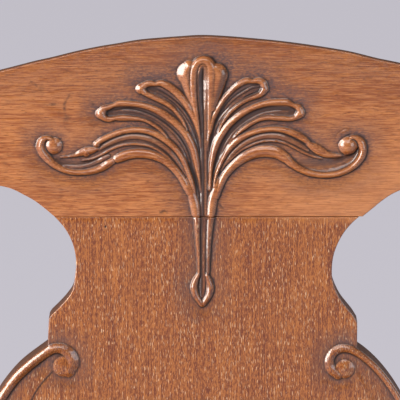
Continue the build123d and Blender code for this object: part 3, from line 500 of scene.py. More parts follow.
# Grooves, hollows with their veins, and paths of painted shade only (height 0).
CENTRE_GROOVE = [
    (203.1, 67.5, 3, 1.4), (202.9, 76, 4.9, 3.9), (202.9, 90, 5, 4), (203.1, 103, 4.6, 3.6),
    (203.6, 120, 4.2, 3), (203.8, 140, 4, 2.7), (204.2, 165, 4.3, 2.8), (204.3, 178, 4.5, 2.8),
    (204.1, 192, 4, 2.6), (204.1, 217, 3.8, 2.5),
]
CENTRE_SHADE = [
    (201.9, 69, 1.8, 0), (200.6, 76, 2.9, 0), (200.6, 90, 2.9, 0), (201, 103, 2.6, 0),
    (202, 120, 2.2, 0), (202.2, 140, 1.7, 0), (202.5, 170, 1.5, 0), (202.4, 217, 1.6, 0),
]
FLANK_SHADE = [
    (224.2, 72, 2.8, 0), (222.4, 82, 3, 0), (219.6, 90, 2.6, 0), (216.4, 99, 2, 0),
    (213.6, 107, 1.4, 0),
]
LEFT_UPPER_HOLLOW = [
    (149.5, 88.9, 1.6, 0.4), (155, 90.2, 3, 0.8), (161, 92.9, 3.4, 1), (167, 96.8, 3.2, 1),
    (173.6, 101.8, 3, 1), (180, 107.8, 2.9, 1), (185.4, 114.2, 2.8, 1), (189.4, 120.6, 2.6, 0.9),
    (192.8, 128, 2.3, 0.9), (195.2, 135, 1.9, 0.8), (197.6, 142, 1.5, 0.7), (199.4, 149, 1, 0.5),
    (200.6, 156, 0.6, 0.3),
]
LEFT_UPPER_VEIN = [
    (157, 91.5, 1.15, 0.5), (165, 95.8, 1.25, 1), (174.8, 102.4, 1.25, 1), (181.5, 109.6, 1.25, 1),
    (187.2, 117.6, 1.15, 1), (191.6, 125.5, 1.05, 0.6), (194.6, 133.5, 1, 0.3),
]
LEFT_MIDDLE_HOLLOW = [
    (106.5, 113.8, 1.8, 0.5), (110, 113.2, 3.4, 0.9), (115, 112, 3.8, 1.1), (122, 111, 3.8, 1.1),
    (130, 111.1, 4, 1.2), (138, 112.5, 4.1, 1.2), (146, 114.8, 4.2, 1.2), (154, 118.3, 4, 1.2),
    (161, 122.4, 3.8, 1.1), (167.4, 127, 3.6, 1.1), (173.6, 132.8, 3.4, 1), (179, 139, 3.4, 1),
    (183.4, 145.5, 3.2, 1), (187, 152.5, 2.9, 0.9), (189.8, 160.5, 2.4, 0.9), (192.4, 169.5, 1.8, 0.8),
    (195.4, 178, 1.8, 0.8), (197.4, 186, 1.5, 0.7), (199.2, 194, 1, 0.5), (200.2, 201, 0.6, 0.3),
]
LEFT_MIDDLE_VEIN = [
    (114, 111.8, 1.15, 0.5), (125, 110.8, 1.25, 1), (137, 112, 1.25, 1), (148, 115.6, 1.25, 1),
    (158, 120.6, 1.25, 1), (167, 126.9, 1.25, 1), (174.3, 133.7, 1.25, 1), (180.5, 141.8, 1.2, 0.9),
    (185.6, 151, 1.1, 0.7), (189.6, 162, 1, 0.4),
]
RIGHT_UPPER_HOLLOW = [
    (260, 88.5, 2.6, 0.7), (256, 89.5, 4.6, 1.1), (250, 91.5, 5.4, 1.3), (244, 94.3, 5.6, 1.3),
    (238, 98.3, 5.2, 1.3), (232, 103, 4.6, 1.2), (227, 108.2, 4.2, 1.1), (223, 113.6, 3.9, 1.1),
    (220, 118.4, 3.7, 1.1), (217.3, 124, 3.2, 1), (215, 130.5, 2.5, 0.9), (212.6, 137, 1.8, 0.8),
    (210.8, 144, 1.3, 0.6), (209.4, 152, 0.9, 0.4),
]
RIGHT_UPPER_VEIN = [
    (258.5, 86.4, 1.15, 0.9), (250.7, 88.2, 1.3, 1.7), (245, 91.6, 1.3, 1.7), (239.5, 95, 1.3, 1.7),
    (234, 99, 1.3, 1.5), (229, 103.8, 1.2, 1.2), (225.5, 108.5, 1.1, 0.8),
]
RIGHT_UPPER_THREAD = [
    (256.5, 90.6, 1.15, 0.9), (250, 93, 1.3, 1.7), (245, 95.8, 1.3, 1.7), (240, 99.6, 1.3, 1.7),
    (235, 103.3, 1.3, 1.7), (231, 106.6, 1.3, 1.7), (228, 109.8, 1.3, 1.5), (225, 113.2, 1.3, 1.5),
    (221.4, 117.8, 1.3, 1.4), (218.9, 122, 1.2, 1.3), (216.2, 127.4, 1.1, 1), (214.2, 133, 0.9, 0.4),
]
RIGHT_MIDDLE_HOLLOW = [
    (296, 111.3, 1.8, 0.6), (291, 111.3, 4, 1), (284, 111.1, 4.7, 1.2), (277, 110.8, 4.7, 1.2),
    (270, 110.8, 4.7, 1.2), (262, 112.4, 4.7, 1.2), (254, 115.3, 4.6, 1.2), (246.8, 119.4, 4.4, 1.2),
    (240.6, 123.8, 4.3, 1.1), (235, 128.8, 4.2, 1.1), (229.6, 135, 4, 1.1), (225.3, 141.2, 3.7, 1),
    (222.2, 147.6, 3.3, 0.9), (219.5, 153.6, 2.7, 0.9), (217, 159.6, 2, 0.8), (215.2, 165.6, 1.4, 0.7),
    (213.8, 172, 1, 0.5), (212.8, 180, 0.6, 0.3),
]
RIGHT_MIDDLE_VEIN = [
    (288, 112, 1.15, 0.5), (275, 112, 1.25, 1), (266, 113.3, 1.25, 1), (258, 116, 1.25, 1),
    (249, 120.8, 1.25, 1), (241, 126.4, 1.25, 1), (235, 131.8, 1.25, 1), (230, 138, 1.2, 1),
    (226, 144.4, 1.15, 0.9), (222.8, 151, 1.1, 0.7), (220, 158, 1, 0.4),
]
LEFT_DISH = [
    (57, 158.5, 2.2, 0.4), (63, 161.8, 3.2, 0.6), (72, 164.3, 3.8, 0.8), (82, 164.6, 4, 0.8),
    (92, 162.8, 4, 0.8), (101, 159.4, 3.8, 0.7), (109, 155.4, 2.6, 0.4),
]
LEFT_DISH_VEIN = [
    (64, 165.8, 1.2, 0.4), (72, 166.8, 1.9, 1.2), (79, 166.8, 1.9, 1.5), (88, 165.4, 1.8, 1),
    (97, 162, 2.2, 1.3), (104, 158.4, 2.6, 2.2), (108.5, 156.2, 1.8, 1.2),
]
RIGHT_DISH = [
    (297, 160, 3, 0.4), (306, 163.5, 5, 0.9), (317, 165.3, 6.4, 1.6), (328, 165.5, 7, 2.2),
    (338, 164.4, 7.4, 2.9), (346, 161.8, 7.2, 3.6), (352.8, 156.8, 5.8, 3.6), (357.6, 150.5, 3.4, 2.4),
]
RIGHT_DISH_SHADE = [
    (301, 161.5, 1.6, 0), (312, 162.5, 3.6, 0), (325, 163, 4.4, 0), (335, 161, 4, 0),
    (343, 158.6, 2.8, 0), (350, 155.6, 1.6, 0),
]

# Scratches and dents of the crest rail, a worm hole in the splat.
CREST_MARKS = [
    [(30, 81, 0.5, 0.15), (35, 84.5, 0.7, 0.2), (40, 88, 0.4, 0.1)],
    [(69.5, 95, 0.7, 0.15), (65.5, 101, 0.9, 0.25), (64.5, 109, 0.9, 0.25), (67, 117, 0.6, 0.15)],
    [(49.5, 103.4, 0.6, 0.2), (52.5, 104.6, 0.8, 0.3), (56.5, 104, 0.6, 0.2)],
    [(92, 101, 0.7, 0.2), (93.4, 105, 0.6, 0.2)],
    [(5, 105, 0.5, 0.1), (9, 102, 0.6, 0.15), (13, 101, 0.4, 0.1)],
    [(160, 213, 0.8, 0.3), (164, 211, 0.9, 0.4), (168, 212.4, 0.6, 0.3)],
    [(219, 204, 0.7, 0.2), (222, 207, 0.9, 0.3), (224, 210, 0.6, 0.2)],
]
WORM_HOLE = (105.7, 227, 1.1, 1.6)
MARK_WAX = 0.7

# Lower end of the stem, on the splat.
STEM_GROOVE = [
    (203.7, 214, 3.4, 1.5), (203, 245, 2.9, 1.3), (202.8, 272, 2.6, 1.3), (202.6, 286, 3.4, 1.8),
    (202.4, 298, 1.6, 0.8),
]
STEM_WALL_SHADE = [
    (206.2, 216.5, 1.9, 0), (206, 233, 1.8, 0), (205.9, 247, 1.7, 0), (206, 260, 1.5, 0),
    (206.2, 273, 1.2, 0),
]
ROOT_WALL_SHADE = [(209.6, 188, 1.2, 0), (208, 196, 1.5, 0), (207, 206, 1.6, 0), (206.2, 217.5, 1.7, 0)]
STEM_SHADE = [
    (202, 216, 1.6, 0), (201.4, 245, 1.3, 0), (201.3, 272, 1.2, 0), (200.8, 286, 1.6, 0),
    (201.6, 296, 1, 0),
]

# Scrolls on the edges of the splat, the seen upper half of each.
SCROLL_MIDDLE = -152.7
LEFT_EDGE_BEAD = [
    (68, 371, 7.5, 2.6), (72, 363, 7.5, 2.8), (69, 354, 6.5, 2.9), (62, 349.4, 5.8, 3),
    (54, 349, 5.4, 3.2), (46, 353, 5.4, 3.2), (36, 360.4, 5.4, 3.2), (25, 369.4, 5.4, 3.2),
    (14, 380.4, 5.4, 3.2), (5, 392.4, 5.3, 3.2),
]
LEFT_EDGE_EYE = (63.5, 367, 11.0, 2.1)
LEFT_EDGE_HOLLOW = [
    (49, 361, 1.5, 0.4), (43, 367, 6.5, 0.7), (34, 376, 9, 0.7), (25, 387, 10, 0.7),
    (18, 398, 10.5, 0.7),
]
LEFT_EDGE_LINE = [
    (53, 371.5, 0.7, 0.2), (50.4, 374.7, 0.9, 0.4), (44, 381.5, 1, 0.5), (38.3, 388.8, 1, 0.5),
    (31.9, 400, 1, 0.5),
]
RIGHT_EDGE_BEAD = [
    (338, 375, 5.5, 2), (331, 369, 5.5, 2.1), (329.5, 361, 5, 2.1), (333.5, 353, 4.9, 2.1),
    (341, 349, 4.7, 2.1), (349, 349.5, 4.4, 2.1), (357, 353.2, 4, 2), (365, 358.6, 3.8, 2),
    (375, 367.6, 3.8, 2), (384, 377.8, 3.8, 2), (392, 388.5, 3.8, 2), (398, 398, 3.8, 2),
]
RIGHT_EDGE_EYE = (344.8, 369.5, 10.0, 2.1)
RIGHT_EDGE_HOLLOW = [
    (357, 361, 1.5, 0.4), (361.5, 368, 6, 0.7), (369, 378, 8.5, 0.7), (377, 389, 9.5, 0.7),
    (384, 400, 10, 0.7),
]


# Sections of a ridge as (crown, power).
ROUND = (0.75, 1.45)
SHARP = (0.9, 1.15)
DOMED = (0.95, 1.2)
ROOT = (0.85, 1.7)
BROAD = (0.85, 1.9)
RIM = (0.8, 2.4)
SWOLLEN = (0.9, 2.6)
FLAT = (0.8, 4.0)
BALL = (1.0, 2.0)
VALLEY = (1.0, 1.1)             # the groove down the stem
PALMETTE = (
    (ROUND, (LEFT_UPPER_TOP, LEFT_UPPER_BASE, LEFT_MIDDLE_TOP, LEFT_MIDDLE_BASE, LEFT_LOWER_TOP)),
    (ROUND, (LEFT_LOWER_REED, LEFT_LOWER_THREAD, RIGHT_LOWER_REED, RIGHT_LOWER_THREAD)),
    (ROUND, (RIGHT_UPPER_BASE, RIGHT_MIDDLE_BASE, RIGHT_LOWER_BASE, RIGHT_SCROLL, RIGHT_BUD)),
    (SHARP, (RIGHT_UPPER_TOP, RIGHT_MIDDLE_TOP, RIGHT_LOWER_TOP, LEFT_SCROLL, LEFT_BUD)),
    (BROAD, (LEFT_LOWER_BASE,)),
    (ROOT, (LEFT_ROOT, RIGHT_ROOT)),
    (RIM, (CENTRE_RIM,)),
    (FLAT, (CENTRE_BED,)),
    (DOMED, (CENTRE_FLANK_LEFT,)),
    (SWOLLEN, (CENTRE_FLANK_RIGHT,)),
)
# Strokes with the strength of their darkening; a dish also has its section.
# Painted shade on groove walls turned from the light and on walls that shone too much, on the right flank
# and under the right bud; wax and painted shade in the leaf hollows; the low reeds and the dishes darker.
CREST_GROUND_SHADE = ((CENTRE_SHADE, 0.95), (CENTRE_GROOVE, 0.55), (ROOT_WALL_SHADE, 0.5))
CREST_RIDGE_DARKENING = (
    (FLANK_SHADE, 0.6), (LEFT_LOWER_REED, 0.45), (RIGHT_LOWER_REED, 0.45), (RIGHT_DISH_SHADE, 0.6),
)
LEAF_HOLLOWS = (
    (LEFT_UPPER_HOLLOW, 0.88), (LEFT_MIDDLE_HOLLOW, 0.72),
    (RIGHT_UPPER_HOLLOW, 0.88), (RIGHT_MIDDLE_HOLLOW, 0.88),
)
DISHES = ((LEFT_DISH, 0.7, 0.8), (RIGHT_DISH, 0.15, 1.5))
SPLAT_SHADE = ((STEM_SHADE, 0.95), (STEM_GROOVE, 0.35), (STEM_WALL_SHADE, 0.75))
SECOND_VEIN = (1.15, 0.75)      # the lower vein of a pair: how far below, and its share of the height


def crest_carving():
    """Palmette on the crest rail."""
    carving = Carving(*CREST_GRID)
    for section, paths in PALMETTE:
        for path in paths:
            carving.ridge(stroke(path), *section)
    for ball in (LEFT_BALL, RIGHT_BALL):
        carving.ridge(dot(ball), *BALL)
    for tip in LEAF_TIPS:
        carving.ridge(dot(tip), *DOMED)
    carve_stem(carving)
    carve_hollows(carving)
    carve_veins(carving)
    for path in CREST_MARKS:
        carving.groove(stroke(path, 0))
        carving.shade(stroke(path, 0), MARK_WAX)
    carving.finish()
    return carving


def carve_stem(carving):
    """Groove down the middle lobe and the stem; painted shade on its walls, on the right flank and under
    the right bud; the low reeds darker.
    """
    carving.groove(stroke(CENTRE_GROOVE, 0), *VALLEY)
    for path, dark in CREST_GROUND_SHADE:
        carving.shade(stroke(path, 0), dark)
    for path, dark in CREST_RIDGE_DARKENING:
        carving.shade(stroke(path), dark)


def carve_hollows(carving):
    """Hollows of the leaves and the dishes inside the scrolls."""
    for path, dark in LEAF_HOLLOWS:
        carving.hollow(stroke(path, 0), dark)
    for path, dark, crown in DISHES:
        carving.groove(stroke(path, 0), crown)
        carving.shade(stroke(path, 0), dark)


def carve_veins(carving):
    """Single raised lines, and the paired veins of the leaves."""
    for path in (BALL_ARC, LEFT_DISH_VEIN, RIGHT_UPPER_THREAD):
        carving.vein(stroke(path, 0))
    below, share = SECOND_VEIN
    for path in (LEFT_UPPER_VEIN, LEFT_MIDDLE_VEIN, RIGHT_UPPER_VEIN, RIGHT_MIDDLE_VEIN):
        vein = stroke(path, 0)
        carving.vein(vein)
        vein[:, :2] -= below * upward(vein[:, :2])
        vein[:, 3] *= share
        carving.vein(vein)


def dot(ball):
    """Round boss as a very short stroke."""
    x, y, half, height = ball
    return stroke([ball, (x, y + 0.1, half, height)])


SCROLL_CENTRE = 13.6            # middle of the circle that each C-scroll follows, from the axis
SCROLL_BEND = (0.945, 0.325)    # direction of the point just above the widest one
LEFT_BEAD_RADIUS = 105.5
LEFT_HOLLOW_RADIUS = 96
LEFT_LINE_RADIUS = 90
RIGHT_BEAD_RADIUS = 102.5
RIGHT_HOLLOW_RADIUS = 93
EDGE_BEAD_SECTION = (0.9, 1.3)
EDGE_HOLLOW_CROWN = 0.4
EDGE_LINE_WAX = 0.6


def whole_scroll(path, side, radius):
    """Stroke along a scroll: seen upper half, widest point, mirrored lower half."""
    upper = board(path, SCROLL_DEPTH)
    upper[:, 2] *= MM_PER_PIXEL
    upper[:, 3] *= RELIEF
    half, height = upper[-1, 2:]
    across, along = SCROLL_BEND
    middle = np.array([[side * (SCROLL_CENTRE + radius), SCROLL_MIDDLE, half, height]])
    bend_u = side * (SCROLL_CENTRE + radius * across)
    bend = np.array([[bend_u, SCROLL_MIDDLE + radius * along, half, height]])
    lower = mirrored_down(np.vstack([upper, bend])[::-1])
    return smooth(np.vstack([upper, bend, middle, lower]), STROKE_STEP)


def mirrored_down(path):
    """Copy of a path on the other side of the line through the middle of the scrolls."""
    lower = path.copy()
    lower[:, 1] = 2 * SCROLL_MIDDLE - lower[:, 1]
    return lower


def splat_carving():
    """End of the stem and the C-scrolls of the splat."""
    carving = Carving(*SPLAT_GRID)
    for path, section in ((STEM_LEFT, ROUND), (STEM_RIGHT, ROUND), (STEM_DROP, ROUND), (STEM_BED, FLAT)):
        carving.ridge(stroke(path), *section)
    carving.ridge(whole_scroll(LEFT_EDGE_BEAD, -1, LEFT_BEAD_RADIUS), *EDGE_BEAD_SECTION)
    carving.ridge(whole_scroll(RIGHT_EDGE_BEAD, 1, RIGHT_BEAD_RADIUS), *EDGE_BEAD_SECTION)
    for eye in (LEFT_EDGE_EYE, RIGHT_EDGE_EYE):
        carving.ridge(dot(eye), *ROUND)
        carving.ridge(mirrored_down(dot(eye)), *ROUND)
    carving.groove(whole_scroll(LEFT_EDGE_HOLLOW, -1, LEFT_HOLLOW_RADIUS), EDGE_HOLLOW_CROWN)
    carving.hollow(whole_scroll(LEFT_EDGE_LINE, -1, LEFT_LINE_RADIUS), EDGE_LINE_WAX)
    carving.groove(whole_scroll(RIGHT_EDGE_HOLLOW, 1, RIGHT_HOLLOW_RADIUS), EDGE_HOLLOW_CROWN)
    carving.groove(stroke(STEM_GROOVE, 0), *VALLEY)
    # Painted shade on the shaded left wall of the stem groove, and on its right walls to dim their shine.
    for path, dark in SPLAT_SHADE:
        carving.shade(stroke(path, 0), dark)
    carving.hollow(dot(WORM_HOLE), 1.0)
    carving.finish()
    return carving


# ---- outlines of the two boards, anticlockwise seen from the front ----

CREST_TOP_SEEN = [
    (400, 64.4), (378.6, 60), (350, 53), (327.6, 49.1), (300, 45), (276.5, 42.1), (250, 39.6),
    (225.5, 37.6), (200, 36.6), (179, 37.9), (160, 39.3), (140, 41.1), (115, 45.3), (102, 47.4),
    (76.5, 52.6), (51, 58.9), (34, 62.7), (20, 66.3), (0, 71.4),
]
CREST_UNDER_RIGHT = [(362.6, 216.8), (371.6, 209.6), (383, 200.4), (391, 195), (400, 190.7)]
CREST_UNDER_LEFT = [(0, 186.2), (10, 188.6), (25.5, 196), (33.8, 200.6), (42, 206.6), (54.8, 217.2)]
SPLAT_WAIST_LEFT = [
    (54.8, 217.2), (63.8, 227.4), (71.4, 240.8), (75.3, 254.8), (75.9, 265), (74.6, 279), (72.2, 291),
    (66.5, 299.5), (60, 306.8), (51, 315.6),
]
SPLAT_WAIST_RIGHT = [
    (358.8, 217.2), (351.8, 223.6), (344, 233), (337.8, 244), (333.9, 254.8), (332, 268.9),
    (332.8, 281.6), (336.5, 292), (341, 300.5), (346.9, 308.2), (352, 314.4), (356.3, 321),
]
SHOULDER_LEFT = [(48.8, 319), (47.6, 346)]
SHOULDER_RIGHT = [(357.4, 323), (357.2, 348)]
SCROLL_EDGE_LEFT = [(47.6, 346), (38, 353), (29, 359.6), (19, 368), (9.5, 378.4), (0, 391)]
SCROLL_EDGE_RIGHT = [(357.2, 348), (366, 354.4), (376, 363.4), (386, 374.6), (394, 385.5), (400, 395)]


# Guessed parts, right-hand side, as (u, v): top from ear to seen part, underside, ear.
CREST_TOP_GUESS = [
    (280, 42.5), (272, 44.6), (260, 45.4), (235, 46.6), (200, 50), (150, 62), (125, 68.9),
]
CREST_UNDER_GUESS = [(122, 17.6), (150, 13.8), (186, 6.6), (212, 1.8), (236, 0.2)]
UNDER_LINK_RIGHT = (108, 16.6)  # between the seen and the guessed underside
UNDER_LINK_LEFT = (-110, 17)
EAR = [(280, 0.2), (283, 8), (284.6, 18), (284.6, 27), (283.6, 35), (280, 42.5)]
CREST_FOOT = [(236, 0.2), (280, 0.2)]
BULGE = [(114.0, -122.0), (119.5, SCROLL_MIDDLE)]
NECK_DROP = 13                  # from the end of the lower scroll to the neck
NECK = [(68, -278), (54, -304), (57, -340), (62, -372), (60, -415), (66, -434), (82, -450)]
OUTLINE_STEP = 0.9


def mirrored(points):
    """The same places on the other side of the middle, in the other order."""
    return [(-u, v) for u, v in reversed(points)]


def crest_outline():
    """Crest rail: seen middle, guessed double curves and ears."""
    top = [*CREST_TOP_GUESS, *board(CREST_TOP_SEEN).tolist(), *mirrored(CREST_TOP_GUESS)]
    under_right = [*board(CREST_UNDER_RIGHT).tolist(), UNDER_LINK_RIGHT, *CREST_UNDER_GUESS]
    under_left = [*mirrored(CREST_UNDER_GUESS), UNDER_LINK_LEFT, *board(CREST_UNDER_LEFT).tolist()]
    joint = [under_left[-1], under_right[0]]
    return closed(
        joint, under_right, CREST_FOOT, EAR, top, mirrored(EAR), mirrored(CREST_FOOT), under_left,
    )


def splat_side(side, waist, shoulder, scroll):
    """Curves down one edge of the splat, from the joint to the foot."""
    upper = np.vstack([board(scroll), [(side * u, v) for u, v in BULGE]])
    lower = mirrored_down(upper[::-1])
    end = lower[-1]
    neck = np.array([(end[0], end[1] - NECK_DROP), *((side * u, v) for u, v in NECK)])
    step = board([waist[-1], shoulder[0]])
    bulge = np.vstack([upper, lower[1:]])
    return [board(waist), step, board(shoulder), bulge, np.array([end, neck[0]]), neck]


def splat_outline():
    """Splat: seen upper edges, lower half guessed."""
    down = splat_side(-1, SPLAT_WAIST_LEFT, SHOULDER_LEFT, SCROLL_EDGE_LEFT)
    right = splat_side(1, SPLAT_WAIST_RIGHT, SHOULDER_RIGHT, SCROLL_EDGE_RIGHT)
    up = [part[::-1] for part in reversed(right)]
    foot = np.array([down[-1][-1], up[0][0]])
    joint = np.array([up[-1][-1], down[0][0]])
    return closed(*down, foot, *up, joint)


def closed(*pieces):
    """Outline from curves laid end to end, corners kept."""
    points = []
    for part in pieces:
        run = smooth(part, OUTLINE_STEP)
        points.extend(run[:-1].tolist())
    return np.array(points)


# ---- boards ----

FINE_STEP = 0.42                # spacing of points where the carving is busy
MIDDLE_STEP = 1.2
WIDE_STEP = 5.0
BUSY = 0.13                     # slope over which a place is busy
QUIET = 0.01                    # slope under which it is flat
ARRIS_SHARES = (0.1, 0.35, 0.68, 1.0)   # rows of points across the rounded arris
ARRIS_GAP = 0.5                 # kept free of other points inside the arris
RING_FIT = 0.93                 # rows that come nearer to the outline than this share are broken
ROW_RATIO = 0.866               # height of an even triangle of side 1
CREST_THICKNESS = 22.0
CREST_ARRIS = 0.7
CREST_BACK_BEVEL = 1.0
TOP_BEVEL_FALL = 16.0           # extra bevel behind the top edge, down and in
TOP_BEVEL_INSET = 8.0
TOP_FACING = (0.2, 0.7)         # upward part of the edge's normal: no bevel, full bevel
TOP_START = 20
SPLAT_THICKNESS = 15.0
SPLAT_ARRIS = 0.6
SPLAT_BACK_BEVEL = 0.6
BACK_MARGIN = 0.6               # flat rim inside the bevel of the back
WALL_START = 0.3                # of the side walls, behind the arris


def inward(outline):
    """Unit normals that point into an anticlockwise outline."""
    ahead = np.roll(outline, -1, axis=0) - np.roll(outline, 1, axis=0)
    normal = np.column_stack([-ahead[:, 1], ahead[:, 0]])
    return normal / np.linalg.norm(normal, axis=1)[:, None]


def lattice(low, high, step):
    """Staggered points over a rectangle."""
    rows = np.arange(low[1], high[1], step * ROW_RATIO)
    columns = np.arange(low[0], high[0], step)
    u, v = np.meshgrid(columns, rows)
    u = u + (np.arange(len(rows)) % 2)[:, None] * step / 2
    return np.column_stack([u.ravel(), v.ravel()])


def face_points(outline, carving, arris):
    """Inner points of a carved face: close together where there is detail, far apart elsewhere."""
    low, high = outline.min(axis=0), outline.max(axis=0)
    start = (carving.u[0], carving.v[0])
    end = (carving.u[-1], carving.v[-1])
    fine = lattice(start, end, FINE_STEP)
    fine = fine[carving.at(carving.detail, *fine.T) > BUSY]
    middle = lattice(start, end, MIDDLE_STEP)
    detail = carving.at(carving.detail, *middle.T)
    middle = middle[(detail <= BUSY) & (detail > QUIET)]
    wide = lattice(low, high, WIDE_STEP)
    carved = (wide[:, 0] > start[0]) & (wide[:, 0] < end[0]) & (wide[:, 1] > start[1])
    wide = wide[~carved | (carving.at(carving.detail, *wide.T) <= QUIET)]
    points = np.vstack([fine, middle, wide])
    points = points[(points > low).all(axis=1) & (points < high).all(axis=1)]
    tree = KDTree(len(outline))
    for number, (u, v) in enumerate(outline):
        tree.insert((u, v, 0), number)
    tree.balance()
    far = [tree.find((u, v, 0))[2] > arris + ARRIS_GAP for u, v in points]
    rings = []
    for share in ARRIS_SHARES:
        ring = outline + inward(outline) * arris * share
        keep = [tree.find((u, v, 0))[2] > arris * share * RING_FIT for u, v in ring]
        rings.append(np.column_stack([ring, np.full(len(ring), arris * share)])[keep])
    inner = points[far]
    inner = np.column_stack([inner, np.full(len(inner), arris)])
    return np.vstack([inner, *rings])


def triangulate(outline, inner):
    """Triangles inside an outline; returns corner numbers into outline + inner."""
    points = np.vstack([outline, inner[:, :2]])
    count = len(outline)
    edges = [(i, (i + 1) % count) for i in range(count)]
    found = delaunay_2d_cdt([Vector(p) for p in points.tolist()], edges, [], 1, 1e-5)
    origin = [sources[0] if sources else -1 for sources in found[3]]
    faces = [tuple(origin[i] for i in face) for face in found[2]]
    return [face for face in faces if min(face) >= 0]


def carved_board(name, outline, carving, arris, thickness, bevel_start, bevel_inset):
    """Solid board with a carved front, rounded arris, side walls and bevelled back.

    bevel_start and bevel_inset say, for each point of the outline, where the bevel of the back
    begins and how far in it ends.
    """
    inner = face_points(outline, carving, arris)
    faces = triangulate(outline, inner)
    flat = np.vstack([np.column_stack([outline, np.zeros(len(outline))]), inner])
    edge = np.clip(1 - flat[:, 2] / arris, 0, 1)
    depth = arris * (1 - np.sqrt(1 - edge ** 2)) - carving.at(carving.height, *flat[:, :2].T)
    count = len(outline)
    normal = inward(outline)
    even = np.ones(count)
    rings = [
        (even * 0, even * (arris + WALL_START)), (even * 0, bevel_start), (bevel_inset, even * thickness),
        (bevel_inset + BACK_MARGIN, even * thickness),
    ]
    points = [np.column_stack([flat[:, :2], depth])]
    for inset, level in rings:
        points.append(np.column_stack([outline + normal * inset[:, None], level]))
    starts = [0] + [len(flat) + count * number for number in range(len(rings))]
    for near, far in zip(starts[:-1], starts[1:]):
        for i in range(count):
            j = (i + 1) % count
            faces.append((near + i, far + i, far + j, near + j))
    for corners in triangulate(points[-1][:, :2], np.zeros((0, 3))):
        faces.append(tuple(starts[-1] + i for i in reversed(corners)))
    points = np.vstack(points)
    mesh = bpy.data.meshes.new(name)
    mesh.from_pydata([on_back(*p) for p in points], [], [f[::-1] for f in faces])
    front = np.arange(len(points)) < len(flat)
    side = (~front) & (np.arange(len(points)) < starts[-1])
    for title in ("cavity", "haze", "wax_and_shade", "pale"):
        values = carving.at(getattr(carving, title), *points[:, :2].T) * front
        paint(mesh, title, values)
    # Side walls: the finish paints them dark as shade, also for their end grain, and dulls their polish.
    paint(mesh, "side", side)
    return piece(name, mesh)


def paint(mesh, title, values):
    """Number for each point, which the finish reads."""
    layer = mesh.attributes.new(title, "FLOAT", "POINT")
    layer.data.foreach_set("value", values.astype(np.float32))


def put(name, data):
    """New object in the scene."""
    made = bpy.data.objects.new(name, data)
    bpy.context.scene.collection.objects.link(made)
    return made


def piece(name, mesh):
    """Object for a mesh made here, smooth shaded with sharp edges kept."""
    made = put(name, mesh)
    mesh.validate()
    mesh.shade_smooth()
    mesh.set_sharp_from_angle(angle=PIECE_SHARP)
    return made


def crest_piece():
    """Carved crest rail, its top edge bevelled off behind."""
    outline = crest_outline()
    up = -inward(outline)[:, 1]
    top = step_up(up, *TOP_FACING) * (outline[:, 1] > TOP_START)
    start = CREST_THICKNESS - CREST_BACK_BEVEL - TOP_BEVEL_FALL * top
    inset = CREST_BACK_BEVEL + TOP_BEVEL_INSET * top
    return carved_board(
        "crest_board", outline, crest_carving(), CREST_ARRIS, CREST_THICKNESS, start, inset,
    )


def splat_piece():
    """Carved splat."""
    outline = splat_outline()
    even = np.ones(len(outline))
    start = even * (SPLAT_THICKNESS - SPLAT_BACK_BEVEL)
    inset = even * SPLAT_BACK_BEVEL
    return carved_board(
        "splat_board", outline, splat_carving(), SPLAT_ARRIS, SPLAT_THICKNESS, start, inset,
    )


# ---- turned front legs ----

PIECE_SHARP = math.radians(50)  # edges sharper than this stay sharp
LEG_HALF = 24.0                 # half of the square blocks
LOWER_BLOCK = (62, 136)         # for the stretchers
UPPER_BLOCK = (330, 445)        # for the seat rails
CORNER_CLEAR = 0.5              # the turning starts just clear of the corners
LEG_RING_STEP = 1.0
LEG_MIDDLE = (256.0, -219.2)    # x and y of the axis of the leg on the right of the picture
QUARTER = (0, 7, 14, 21, 28, 34, 39, 42, 44, 46, 48, 51, 56, 62, 69, 76, 83)  # degrees
SQUARENESS = 28                 # the higher, the sharper the corners of the blocks
CORNER_SHARES = (0.6, 0.42)     # rounded run from block to turning, out and along
LEG_DIRT_AND_SHADE = (0.45, 0.1, 0.75)    # gain, start and most of the darkening in the hollows of the turning: dirt and painted shade
HOLLOW_ROWS = 9                 # rings over which a hollow of the turning is judged
# Runs of the turning as (radius, height): foot and collar, column, arm support, tenon.
FOOT_RUNS = [
    [(13, 0), (16.6, 0.8), (21.6, 6), (25.2, 14), (27, 24.5), (25.4, 34), (21.6, 43), (18, 50)],
    [(18, 50), (19.8, 51), (20.5, 53), (19.6, 55.4)],
    [(19.6, 55.4), (19, 58), (20, 62)],
]
COLUMN_RUNS = [
    [(20, 136), (20, 139)],
    [(20, 139), (22.8, 140.2), (24, 143), (22.8, 145.8), (20, 147)],
    [(20, 147), (17.2, 147.8), (16, 150.5)],
    [(16, 150.5), (16.6, 185), (16.8, 215), (16.8, 221)],
    [(16.8, 221), (16.1, 222), (16.8, 223)],
    [(16.8, 223), (16.8, 226)],
    [(16.8, 226), (16.1, 227), (16.8, 228)],
    [(16.8, 228), (16.6, 260), (16, 302)],
    [(16, 302), (18.8, 303.2), (20, 306), (18.8, 308.8), (16, 310)],
    [(16, 310), (16, 316)],
    [(16, 316), (16.5, 320), (18, 323.3), (20, 325)],
    [(20, 325), (20, 330)],
]
SUPPORT_RUNS = [
    [(20, 445), (20, 448)],
    [(20, 448), (22.8, 449.2), (24, 452), (22.8, 454.8), (20, 456)],
    [(20, 456), (15.4, 456.8), (12.9, 459.5)],
    [
        (12.9, 459.5), (13, 464), (15.4, 473), (18.6, 484), (20.5, 496), (20.5, 507), (18.8, 530),
        (16.4, 560), (14.3, 590), (12.6, 617),
    ],
    [(12.6, 617), (15.4, 618.2), (16.5, 621), (15.4, 623.8), (12.6, 625)],
    [(12.6, 625), (12.5, 631)],
    [(12.5, 631), (13.4, 635), (16, 638.4), (20, 640)],
    [(20, 640), (20, 645)],
]
TENON_RUNS = [[(11, 645), (11, 664.5)]]


